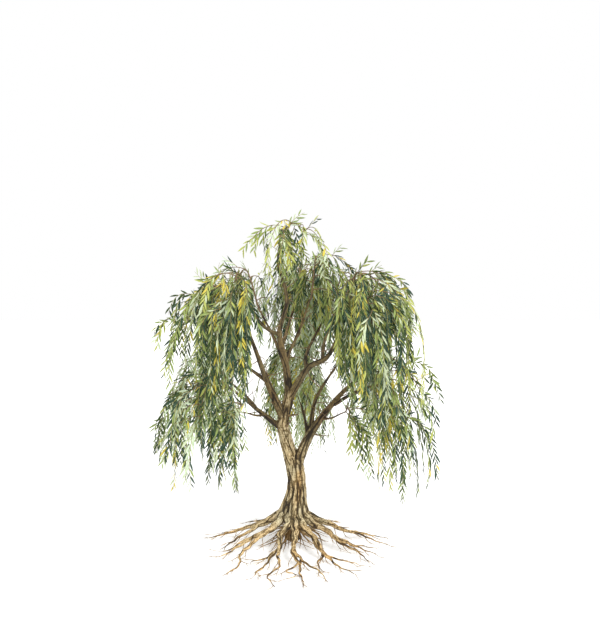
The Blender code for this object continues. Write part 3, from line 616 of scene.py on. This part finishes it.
def leaf_shape():
    """A willow leaf of unit width on X and unit length on Y, folded along its midrib."""
    edges = [(0.0, 0.0, 0.0), (0.16, 0.32, 0.0), (0.45, 0.50, -0.02), (0.78, 0.30, -0.07)]
    points = [(0.0, 0.0, 0.0)]
    for along, half, sag in edges[1:]:
        points += [(-half, along, sag + 0.03), (0.0, along, sag), (half, along, sag + 0.03)]
    points.append((0.0, 1.0, -0.14))
    faces = [(0, 2, 1), (0, 3, 2)]
    for row in (0, 1):
        left = 1 + 3 * row
        faces += [(left, left + 1, left + 4, left + 3), (left + 1, left + 2, left + 5, left + 4)]
    tip = len(points) - 1
    faces += [(tip - 3, tip - 2, tip), (tip - 2, tip - 1, tip)]
    mesh = bpy.data.meshes.new("leaf_shape")
    mesh.from_pydata(points, [], faces)
    return mesh


def new_piece(name, mesh):
    piece = bpy.data.objects.new(name, mesh)
    bpy.context.scene.collection.objects.link(piece)
    return piece


def new_tree(name, inputs):
    """A geometry node tree with a geometry input, the named inputs and a geometry output."""
    tree = bpy.data.node_groups.new(name, "GeometryNodeTree")
    tree.interface.new_socket("Geometry", in_out="INPUT", socket_type="NodeSocketGeometry")
    for label, kind in inputs:
        tree.interface.new_socket(label, in_out="INPUT", socket_type=kind)
    tree.interface.new_socket("Geometry", in_out="OUTPUT", socket_type="NodeSocketGeometry")
    return tree, tree.nodes.new("NodeGroupInput"), tree.nodes.new("NodeGroupOutput")


def named_attribute(tree, name, data_type):
    node = tree.nodes.new("GeometryNodeInputNamedAttribute")
    node.data_type = data_type
    node.inputs["Name"].default_value = name
    return node.outputs["Attribute"]


def close_tree(tree, geometry, given, out):
    """Realizes the instances, sets the material and ends the tree."""
    realize = tree.nodes.new("GeometryNodeRealizeInstances")
    paint = tree.nodes.new("GeometryNodeSetMaterial")
    tree.links.new(geometry, realize.inputs["Geometry"])
    tree.links.new(realize.outputs["Geometry"], paint.inputs["Geometry"])
    tree.links.new(given.outputs["Material"], paint.inputs["Material"])
    tree.links.new(paint.outputs["Geometry"], out.inputs["Geometry"])


def skin_tree():
    """Grows a round skin of the given sides round each line of a mesh, by its thickness."""
    tree, given, out = new_tree("line_skin", [("Sides", "NodeSocketInt"),
                                              ("Material", "NodeSocketMaterial")])
    curves = tree.nodes.new("GeometryNodeMeshToCurve")
    circle = tree.nodes.new("GeometryNodeCurvePrimitiveCircle")
    skin = tree.nodes.new("GeometryNodeCurveToMesh")
    circle.inputs["Radius"].default_value = 1.0
    skin.inputs["Fill Caps"].default_value = True
    tree.links.new(given.outputs["Geometry"], curves.inputs["Mesh"])
    tree.links.new(given.outputs["Sides"], circle.inputs["Resolution"])
    tree.links.new(curves.outputs["Curve"], skin.inputs["Curve"])
    tree.links.new(circle.outputs["Curve"], skin.inputs["Profile Curve"])
    tree.links.new(named_attribute(tree, "thickness", "FLOAT"), skin.inputs["Scale"])
    close_tree(tree, skin.outputs["Mesh"], given, out)
    return tree


def leaf_tree():
    """Sets a leaf on each point of a mesh, by its heading, facing and size."""
    tree, given, out = new_tree("leaf_sprays", [("Leaf", "NodeSocketObject"),
                                                ("Material", "NodeSocketMaterial")])
    points = tree.nodes.new("GeometryNodeMeshToPoints")
    leaf = tree.nodes.new("GeometryNodeObjectInfo")
    turn = tree.nodes.new("FunctionNodeAxesToRotation")
    place = tree.nodes.new("GeometryNodeInstanceOnPoints")
    turn.primary_axis = "Y"
    turn.secondary_axis = "Z"
    tree.links.new(given.outputs["Geometry"], points.inputs["Mesh"])
    tree.links.new(given.outputs["Leaf"], leaf.inputs["Object"])
    tree.links.new(named_attribute(tree, "heading", "FLOAT_VECTOR"), turn.inputs["Primary Axis"])
    tree.links.new(named_attribute(tree, "facing", "FLOAT_VECTOR"), turn.inputs["Secondary Axis"])
    tree.links.new(points.outputs["Points"], place.inputs["Points"])
    tree.links.new(leaf.outputs["Geometry"], place.inputs["Instance"])
    tree.links.new(turn.outputs["Rotation"], place.inputs["Rotation"])
    tree.links.new(named_attribute(tree, "size", "FLOAT_VECTOR"), place.inputs["Scale"])
    close_tree(tree, place.outputs["Instances"], given, out)
    return tree


def realised(piece, tree, values):
    """Runs a tree on a piece with the given inputs and leaves the result as its plain mesh."""
    step = piece.modifiers.new(tree.name, "NODES")
    step.node_group = tree
    sockets = {item.name: item.identifier for item in tree.interface.items_tree
               if item.in_out == "INPUT"}
    for label, value in values.items():
        step[sockets[label]] = value
    plain_mesh(piece)


def plain_mesh(piece):
    """Turns a piece with its modifiers into a plain mesh."""
    graph = bpy.context.evaluated_depsgraph_get()
    mesh = bpy.data.meshes.new_from_object(piece.evaluated_get(graph))
    piece.modifiers.clear()
    piece.data = mesh


def skinned(name, lines, sides, material):
    """One piece with a round skin along every line."""
    points, edges, thickness = [], [], []
    for line, radii in lines:
        first = len(points)
        points.extend(map(tuple, line))
        thickness.extend(radii)
        edges.extend((first + index, first + index + 1) for index in range(len(line) - 1))
    mesh = bpy.data.meshes.new(name)
    mesh.from_pydata(points, edges, [])
    mesh.attributes.new("thickness", "FLOAT", "POINT").data.foreach_set("value", thickness)
    piece = new_piece(name, mesh)
    tree = bpy.data.node_groups.get("line_skin") or skin_tree()
    realised(piece, tree, {"Sides": sides, "Material": material})
    piece.data.shade_smooth()
    return piece


def fuse(piece, cell, smoothing):
    """Fuses a piece's overlapping tubes into one skin of even cells, then smooths it."""
    remesh = piece.modifiers.new("fuse", "REMESH")
    remesh.mode = "VOXEL"
    remesh.voxel_size = cell
    smooth = piece.modifiers.new("smooth", "SMOOTH")
    smooth.factor = 0.5
    smooth.iterations = smoothing
    plain_mesh(piece)


def axis_rows(lines):
    """Every segment of the lines, with its radii, its distance along and its side vector."""
    rows = {"start": [], "end": [], "base": [], "tip": [], "run": [], "side": [], "line": []}
    for number, (line, radii) in enumerate(lines):
        run = run_along(line)
        side = unit(np.cross(line[1] - line[0], (0.31, 0.95, 0.05)))
        for index in range(len(line) - 1):
            axis = unit(line[index + 1] - line[index])
            side = unit(side - axis * (side @ axis))
            rows["start"].append(line[index])
            rows["end"].append(line[index + 1])
            rows["base"].append(radii[index])
            rows["tip"].append(radii[index + 1])
            rows["run"].append(run[index])
            rows["side"].append(side)
            rows["line"].append(number)
    return {key: np.array(value) for key, value in rows.items()}


def bark_places(points, rows):
    """For each point, its place round and along the nearest limb, in metres, and the radius."""
    along = rows["end"] - rows["start"]
    length = np.linalg.norm(along, axis=1)
    places = np.empty((len(points), 3))
    radii = np.empty(len(points))
    for first in range(0, len(points), 4000):
        chunk = points[first:first + 4000]
        offset = chunk[:, None] - rows["start"][None]
        share = np.clip((offset * along[None]).sum(axis=2) / length ** 2, 0.0, 1.0)
        apart = np.linalg.norm(offset - share[..., None] * along[None], axis=2)
        radius = rows["base"] + share * (rows["tip"] - rows["base"])
        best = np.argmin(apart - radius, axis=1)
        pick = np.arange(len(chunk)), best
        axis = along[best] / length[best][:, None]
        side = rows["side"][best]
        other = np.cross(axis, side)
        out = offset[pick] - share[pick][:, None] * along[best]
        run = rows["run"][best] + share[pick] * length[best]
        angle = np.arctan2((out * other).sum(axis=1), (out * side).sum(axis=1)) + 0.35 * run
        size = radius[pick]
        places[first:first + 4000] = np.stack(
            [np.cos(angle) * size, np.sin(angle) * size, run + 7.3 * rows["line"][best]], axis=1)
        radii[first:first + 4000] = size
    return places, radii


def furrows(places, width):
    """0 on the ridges to 1 in the furrows: long, flowing lines that part and meet."""
    stretch = np.array([1.0, 1.0, 0.13]) / (2.2 * width)
    fine = np.array([2.6, 2.6, 0.5]) / (2.2 * width)
    wrinkle = np.array([0.6, 0.6, 2.4]) / (2.2 * width)
    depth = np.empty(len(places))
    for index, place in enumerate(places):
        broad = noise.noise(Vector(place * stretch))
        narrow = noise.noise(Vector(place * fine + 11.0))
        across = noise.noise(Vector(place * wrinkle + 23.0))
        depth[index] = (0.72 * math.exp(-(broad / 0.09) ** 2)
                        + 0.34 * math.exp(-(narrow / 0.12) ** 2)
                        + 0.20 * math.exp(-(across / 0.07) ** 2))
    return np.clip(depth, 0.0, 1.0)


def evened(rows, edges, rounds):
    """The rows, one for each point of a mesh, averaged with their neighbours' round by round."""
    ends = np.concatenate([edges, edges[:, ::-1]])
    links = np.bincount(ends[:, 0], minlength=len(rows))
    for _ in range(rounds):
        sums = [np.bincount(ends[:, 0], column[ends[:, 1]], len(rows)) for column in rows.T]
        rows = np.stack(sums, axis=1) / links[:, None]
    return rows


def painted_crease_shade(points, normals, edges):
    """How far each point lies below the evened-out surface round it: 0 outside to 1 in a crease, where the bark is
    drawn darker as painted shade.
    """
    below = ((evened(points, edges, HOLLOW_ROUNDS) - points) * normals).sum(axis=1)
    return np.clip(below / HOLLOW_DEPTH, 0.0, 1.0)


def carve(piece, lines, width, height, fluted):
    """Cuts the furrows of the bark into a piece, and keeps how dark each point is drawn: its furrows, painted shade in
    creases, between the flutes of the trunk and on undersides, and the tone of thin limbs and the flare.
    """
    mesh = piece.data
    points, normals = np.empty((2, len(mesh.vertices) * 3))
    mesh.vertices.foreach_get("co", points)
    mesh.vertices.foreach_get("normal", normals)
    points, normals = points.reshape(-1, 3), normals.reshape(-1, 3)
    edges = np.empty(len(mesh.edges) * 2, int)
    mesh.edges.foreach_get("vertices", edges)
    places, radii = bark_places(points, axis_rows(lines))
    furrow = furrows(places, width)
    crease_shade = painted_crease_shade(points, normals, edges.reshape(-1, 2))
    cut = np.interp(radii, [0.0, 0.05, TRUNK_RADIUS], [0.0, 0.25, 1.0]) * height
    moved = points + normals * (cut * (0.35 - furrow))[:, None]
    moved[:, 2] = np.maximum(moved[:, 2], 0.0)
    mesh.vertices.foreach_set("co", moved.ravel())
    tone_and_painted_shade = np.interp(moved[:, 2], *FLARE_SHADE)
    flutes = flute_lines()
    if fluted:
        tone_and_painted_shade += np.interp(radii, *LIMB_SHADE)
        # Painted shade: the trunk's body between its flutes is drawn darker, fading out from 1.0 to 1.5 m up.
        above = np.min([np.linalg.norm(points - place, axis=1) - radius for flute in flutes
                        for place, radius in zip(*flute)], axis=0)
        tone_and_painted_shade += 0.45 * np.clip(above / 0.035, 0.0, 1.0) * np.interp(points[:, 2], [1.0, 1.5], [1.0, 0.0])
    # Painted shade: undersides are drawn darker.
    tone_and_painted_shade += 0.16 * np.clip(-1.4 * normals[:, 2], 0.0, 1.0)
    tone_and_painted_shade = evened(tone_and_painted_shade[:, None], edges.reshape(-1, 2), 12)[:, 0]
    # The bark's darkness: its furrows, the painted shade in the creases, and the tone of limbs and flare with the
    # painted shade gathered above.
    depth = np.clip(furrow + 0.8 * crease_shade + tone_and_painted_shade, 0.0, 1.0)
    streaks = np.concatenate([flutes[number][0] for number in STREAKED])
    away = np.min([np.linalg.norm(points - place, axis=1) for place in streaks], axis=0)
    out = np.hypot(points[:, 0], points[:, 1]) * (points[:, 2] < 0.6)
    warmth = np.maximum(0.8 * np.exp(-(away / STREAK_WIDTH) ** 2), np.interp(out, [0.45, 1.6], [0.0, 0.6]))
    mesh.attributes.new("depth", "FLOAT", "POINT").data.foreach_set("value", depth)
    mesh.attributes.new("warmth", "FLOAT", "POINT").data.foreach_set("value", warmth)
    mesh.update()
    mesh.shade_smooth()


def hand_over(piece, nodes):
    """Tells the frame what a finished piece stands for."""
    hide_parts(*nodes)
    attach(piece, BODY)


def shader_material(name, roughness):
    """A new material, its tree and its shader."""
    material = bpy.data.materials.new(name)
    material.use_nodes = True
    tree = material.node_tree
    shader = tree.nodes["Principled BSDF"]
    shader.inputs["Roughness"].default_value = roughness
    return material, tree, shader


def add_noise(tree, scale, detail, stretch=(1.0, 1.0, 1.0)):
    """A noise on the object's own coordinates, drawn out along an axis by its stretch."""
    place = tree.nodes.new("ShaderNodeTexCoord")
    mapping = tree.nodes.new("ShaderNodeMapping")
    mapping.inputs["Scale"].default_value = stretch
    texture = tree.nodes.new("ShaderNodeTexNoise")
    texture.inputs["Scale"].default_value = scale
    texture.inputs["Detail"].default_value = detail
    tree.links.new(place.outputs["Object"], mapping.inputs["Vector"])
    tree.links.new(mapping.outputs["Vector"], texture.inputs["Vector"])
    return texture.outputs["Fac"]


def add_ramp(tree, factor, stops):
    """A colour ramp of (position, colour) stops, driven by a factor."""
    ramp = tree.nodes.new("ShaderNodeValToRGB")
    for extra in stops[2:]:
        ramp.color_ramp.elements.new(extra[0])
    for element, (position, colour) in zip(ramp.color_ramp.elements, sorted(stops)):
        element.position = position
        element.color = (*colour, 1.0)
    tree.links.new(factor, ramp.inputs["Fac"])
    return ramp.outputs["Color"]


def add_mix(tree, kind, factor, first, second):
    """Two colours mixed; the factor is a number or an output."""
    mix = tree.nodes.new("ShaderNodeMix")
    mix.data_type = "RGBA"
    mix.blend_type = kind
    if isinstance(factor, float):
        mix.inputs["Factor"].default_value = factor
    else:
        tree.links.new(factor, mix.inputs["Factor"])
    for name, value in (("A", first), ("B", second)):
        socket = next(s for s in mix.inputs if s.name == name and s.type == "RGBA")
        if isinstance(value, tuple):
            socket.default_value = (*value, 1.0)
        else:
            tree.links.new(value, socket)
    return next(s for s in mix.outputs if s.type == "RGBA")


def bark_material(name, light, mid, dark):
    """Furrowed bark: pale ridges, brown flanks and dark furrows, with painted shade in creases, between the flutes and
    on undersides, and warm and grey patches.
    """
    material, tree, shader = shader_material(name, 0.85)
    depth = tree.nodes.new("ShaderNodeAttribute")
    depth.attribute_name = "depth"
    ridges = add_ramp(tree, depth.outputs["Fac"], [(0.02, light), (0.80, dark), (0.26, mid)])
    fibres = add_ramp(tree, add_noise(tree, 14.0, 5.0, (2.6, 2.6, 0.34)),
                      [(0.36, (0.44, 0.40, 0.34)), (0.60, (1.0, 1.0, 1.0))])
    patches = add_ramp(tree, add_noise(tree, 1.7, 3.0),
                       [(0.38, (0.92, 0.95, 0.90)), (0.66, (1.0, 0.90, 0.72))])
    lined = add_mix(tree, "MULTIPLY", 0.80, ridges, fibres)
    tinted = add_mix(tree, "MULTIPLY", 1.0, lined, patches)
    warmth = tree.nodes.new("ShaderNodeAttribute")
    warmth.attribute_name = "warmth"
    streaked = add_mix(tree, "MULTIPLY", warmth.outputs["Fac"], tinted, OCHRE)
    tree.links.new(streaked, shader.inputs["Base Color"])
    bump = tree.nodes.new("ShaderNodeBump")
    bump.inputs["Strength"].default_value = 0.5
    bump.inputs["Distance"].default_value = 0.006
    tree.links.new(add_noise(tree, 30.0, 4.0, (2.0, 2.0, 0.5)), bump.inputs["Height"])
    tree.links.new(bump.outputs["Normal"], shader.inputs["Normal"])
    return material


def twig_material(name, colour):
    """Smooth young bark with lighter and darker lengths."""
    material, tree, shader = shader_material(name, 0.6)
    dark = tuple(0.55 * value for value in colour)
    lengths = add_ramp(tree, add_noise(tree, 6.0, 3.0), [(0.35, dark), (0.65, colour)])
    tree.links.new(lengths, shader.inputs["Base Color"])
    return material


def leaf_material(name, colour):
    """One plain colour of leaf, with a faint wax gloss."""
    material, tree, shader = shader_material(name, 0.5)
    shader.inputs["Base Color"].default_value = (*colour, 1.0)
    shader.inputs["Specular IOR Level"].default_value = 0.35
    return material


class WILLOW_OT_wood(bpy.types.Operator):
    """Grows the trunk, its flutes and every limb as one furrowed skin"""

    bl_idname = "willow.wood"
    bl_label = "Trunk and boughs"

    def execute(self, context):
        sizes = context.scene.willow_sizes
        colours = context.scene.willow_colours
        material = bark_material("willow_bark", tuple(colours.bark_light), tuple(colours.bark_mid),
                                 tuple(colours.bark_dark))
        limbs = list(limb_lines().values())
        piece = skinned("trunk_and_boughs", [trunk_line(), *limbs, *flute_lines()], 20, material)
        fuse(piece, sizes.grain, 4)
        carve(piece, [trunk_line(), *limbs], sizes.ridge_width, sizes.ridge_height, True)
        hand_over(piece, ["trunk", *(limb.name for limb in LIMBS)])
        return {"FINISHED"}


class WILLOW_OT_roots(bpy.types.Operator):
    """Grows the spreading roots and their thin rootlets"""

    bl_idname = "willow.roots"
    bl_label = "Roots"

    def execute(self, context):
        sizes = context.scene.willow_sizes
        colours = context.scene.willow_colours
        rng = np.random.default_rng(SEED)
        lines = [line for root in ROOTS for line in root_lines(root)]
        material = bark_material("root_bark", tuple(colours.bark_light), tuple(colours.bark_mid),
                                 tuple(colours.bark_dark))
        names = [root.name for root in ROOTS]
        piece = skinned("spreading_roots", lines, 14, material)
        fuse(piece, sizes.grain * 0.86, 2)
        carve(piece, lines, sizes.ridge_width * 0.75, sizes.ridge_height * 1.2, False)
        hand_over(piece, names)
        thin = twig_material("rootlet_bark", tuple(colours.rootlet))
        rootlets = skinned("rootlets", rootlet_lines(lines, rng), 5, thin)
        hand_over(rootlets, names)
        return {"FINISHED"}


def crawl(start, heading, length, rng):
    """A rootlet's crooked line over the ground, from its root's height down to its tip."""
    count = max(4, int(length / 0.06))
    turns = np.radians(heading + np.cumsum(rng.normal(0.0, 14.0, count)))
    steps = np.stack([np.cos(turns), np.sin(turns)], axis=1) * length / count
    line = np.zeros((count + 1, 3))
    line[:, :2] = start[:2] + np.vstack([np.zeros(2), np.cumsum(steps, axis=0)])
    line[:, 2] = 0.006 + (start[2] - 0.006) * (1.0 - np.linspace(0.0, 1.0, count + 1)) ** 1.4
    return line


def rootlet_lines(lines, rng):
    """Thin crooked rootlets along the roots, and short roots that fill the tent of the flare."""
    thin = []
    for line, radii in lines:
        run = run_along(line)
        side = rng.choice([-1.0, 1.0])
        for distance in np.arange(0.42 * run[-1], run[-1], 0.25):
            side = -side
            root = at_run(line, distance)
            ahead = at_run(line, distance + 0.05) - at_run(line, distance - 0.05)
            heading = math.degrees(math.atan2(ahead[1], ahead[0])) + side * rng.uniform(18.0, 55.0)
            thick = min(0.011, 0.5 * float(np.interp(distance, run, radii)) + 0.002)
            main = crawl(root, heading, rng.uniform(0.14, 0.42), rng)
            thin.append((main, taper(thick, 0.002, len(main))))
            middle = main[len(main) // 2]
            branch = crawl(middle, heading - side * rng.uniform(25.0, 60.0), rng.uniform(0.10, 0.24), rng)
            thin.append((branch, taper(0.6 * thick, 0.002, len(branch))))
    for _ in range(70):
        bearing = rng.uniform(0.0, 360.0)
        top = bearing_vector(bearing) * 0.16 + (0.0, 0.0, rng.uniform(0.30, 0.52))
        reach = rng.uniform(0.45, 1.15)
        knee = bearing_vector(bearing + rng.normal(0.0, 6.0)) * reach * 0.55 + (0.0, 0.0, 0.16)
        tip = bearing_vector(bearing + rng.normal(0.0, 12.0)) * reach
        line = smooth_route([top, knee, tip], 14)
        line[:, :2] += np.cumsum(rng.normal(0.0, 0.006, (14, 2)), axis=0)
        thin.append((line, taper(rng.uniform(0.016, 0.034), 0.004, 14)))
    thin = [(line[:reach_end(line)], radii[:reach_end(line)]) for line, radii in thin]
    for line, radii in thin:
        line[:, 2] = np.maximum(line[:, 2], radii)
    return [(line, radii) for line, radii in thin if len(line) > 2]


class WILLOW_OT_twigs(bpy.types.Operator):
    """Grows the arching twigs on from the boughs, and the strands that hang from them"""

    bl_idname = "willow.twigs"
    bl_label = "Twigs and strands"

    def execute(self, context):
        sizes = context.scene.willow_sizes
        colours = context.scene.willow_colours
        names = [mass.name for mass in MASSES]
        crown = grow_crown()
        rng = np.random.default_rng(SEED)
        arches = [line for grown in crown.values() for line in grown[0]]
        brown = twig_material("twig_bark", tuple(colours.twig))
        twigs = skinned("arching_twigs", arches + side_twigs(rng), 6, brown)
        hand_over(twigs, names)
        strands = [(line, taper(sizes.strand_thickness, 0.004, len(line)))
                   for grown in crown.values() for line in grown[1] + grown[2]]
        olive = twig_material("strand_bark", tuple(colours.strand))
        hanging = skinned("hanging_strands", strands, 3, olive)
        hand_over(hanging, names)
        return {"FINISHED"}


class WILLOW_OT_leaves(bpy.types.Operator):
    """Sets the leaves along the strands, one piece for each colour"""

    bl_idname = "willow.leaves"
    bl_label = "Leaves"

    def execute(self, context):
        sizes = context.scene.willow_sizes
        colours = context.scene.willow_colours
        rng = np.random.default_rng(SEED)
        leaf = new_piece("leaf_pattern", leaf_shape())
        crown = grow_crown()
        rows, tints, owners = [], [], []
        for number, mass in enumerate(MASSES):
            _, hanging, upper = crown[mass.name]
            strands = hanging + upper
            *found, strand = leaf_rows(strands, sizes, HABITS[mass.mix], rng)
            shares = MIXES[mass.mix]
            of_strand = rng.choice(len(shares), len(strands), p=shares)
            of_leaf = rng.choice(len(shares), len(strand), p=shares)
            stray = rng.uniform(0.0, 1.0, len(strand)) < 0.42
            rows.append(found)
            tints.append(np.where(stray, of_leaf, of_strand[strand]))
            owners.append(np.full(len(strand), number))
        places, headings, facings, scales = (np.concatenate(part) for part in zip(*rows))
        tints = np.concatenate(tints)
        owners = np.concatenate(owners)
        inside = within_reach(places + headings * scales[:, 1:2])
        tree = leaf_tree()
        for tint, label in enumerate(LEAF_COLOURS):
            chosen = (tints == tint) & inside
            mesh = bpy.data.meshes.new(label)
            mesh.from_pydata(places[chosen].tolist(), [], [])
            for name, values in (("heading", headings), ("facing", facings), ("size", scales)):
                layer = mesh.attributes.new(name, "FLOAT_VECTOR", "POINT")
                layer.data.foreach_set("vector", values[chosen].ravel())
            piece = new_piece("leaves_" + label, mesh)
            material = leaf_material("leaf_" + label, tuple(getattr(colours, label)))
            realised(piece, tree, {"Leaf": leaf, "Material": material})
            hand_over(piece, [MASSES[index].name for index in np.unique(owners[chosen])])
        bpy.data.objects.remove(leaf)
        return {"FINISHED"}


def within_reach(points):
    """Which points keep inside the box of the solids, with a small margin."""
    low = np.array(CAD_BOX[0]) - 0.10
    high = np.array(CAD_BOX[1]) + 0.08
    return ((points > low) & (points < high)).all(axis=1)


class WILLOW_OT_stage(bpy.types.Operator):
    """Sets the pale floor, the soft light and the camera"""

    bl_idname = "willow.stage"
    bl_label = "Stage"

    def execute(self, context):
        stage = context.scene.willow_stage
        half = stage.floor_size / 2
        mesh = bpy.data.meshes.new("floor")
        mesh.from_pydata([(-half, -half, 0.0), (half, -half, 0.0), (half, half, 0.0), (-half, half, 0.0)],
                         [], [(0, 1, 2, 3)])
        floor = new_piece("floor", mesh)
        material, _, shader = shader_material("floor_white", 0.9)
        shader.inputs["Base Color"].default_value = (0.76, 0.76, 0.76, 1.0)
        shader.inputs["Emission Color"].default_value = (1.0, 1.0, 1.0, 1.0)
        shader.inputs["Emission Strength"].default_value = 0.42
        floor.data.materials.append(material)
        world = bpy.data.worlds.new("soft_surroundings")
        world.use_nodes = True
        sky = world.node_tree.nodes["Background"]
        sky.inputs["Color"].default_value = (1.0, 1.0, 1.0, 1.0)
        sky.inputs["Strength"].default_value = stage.sky_strength
        context.scene.world = world
        sun = bpy.data.lights.new("key", "SUN")
        sun.energy = stage.key_strength
        sun.angle = math.radians(24)
        key = bpy.data.objects.new("key", sun)
        key.rotation_euler = (math.radians(42), math.radians(16), math.radians(28))
        context.scene.collection.objects.link(key)
        lens = bpy.data.cameras.new("camera")
        lens.lens = stage.lens
        lens.sensor_width = 36.0
        camera = bpy.data.objects.new("camera", lens)
        camera.location = stage.camera_place
        camera.rotation_euler = (math.radians(90), 0.0, 0.0)
        context.scene.collection.objects.link(camera)
        context.scene.camera = camera
        context.scene.view_settings.view_transform = "Standard"
        return {"FINISHED"}


class WILLOW_PT_panel(bpy.types.Panel):
    """The willow's pieces, sizes and colours"""

    bl_label = "Willow"
    bl_idname = "WILLOW_PT_panel"
    bl_space_type = "VIEW_3D"
    bl_region_type = "UI"
    bl_category = "Willow"

    def draw(self, context):
        for operator in OPERATORS:
            self.layout.operator(operator.bl_idname)
        for group in (context.scene.willow_sizes, context.scene.willow_colours,
                      context.scene.willow_stage):
            for name in group.__annotations__:
                self.layout.prop(group, name)


OPERATORS = (WILLOW_OT_wood, WILLOW_OT_roots, WILLOW_OT_twigs, WILLOW_OT_leaves, WILLOW_OT_stage)
CLASSES = (WillowSizes, WillowColours, WillowStage, *OPERATORS, WILLOW_PT_panel)


def register():
    for kind in CLASSES:
        bpy.utils.register_class(kind)
    bpy.types.Scene.willow_sizes = PointerProperty(type=WillowSizes)
    bpy.types.Scene.willow_colours = PointerProperty(type=WillowColours)
    bpy.types.Scene.willow_stage = PointerProperty(type=WillowStage)


def unregister():
    del bpy.types.Scene.willow_sizes
    del bpy.types.Scene.willow_colours
    del bpy.types.Scene.willow_stage
    for kind in reversed(CLASSES):
        bpy.utils.unregister_class(kind)


def main():
    register()
    bpy.ops.willow.wood()
    bpy.ops.willow.roots()
    bpy.ops.willow.twigs()
    bpy.ops.willow.leaves()
    bpy.ops.willow.stage()
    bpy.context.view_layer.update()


if __name__ == "__main__":
    main()
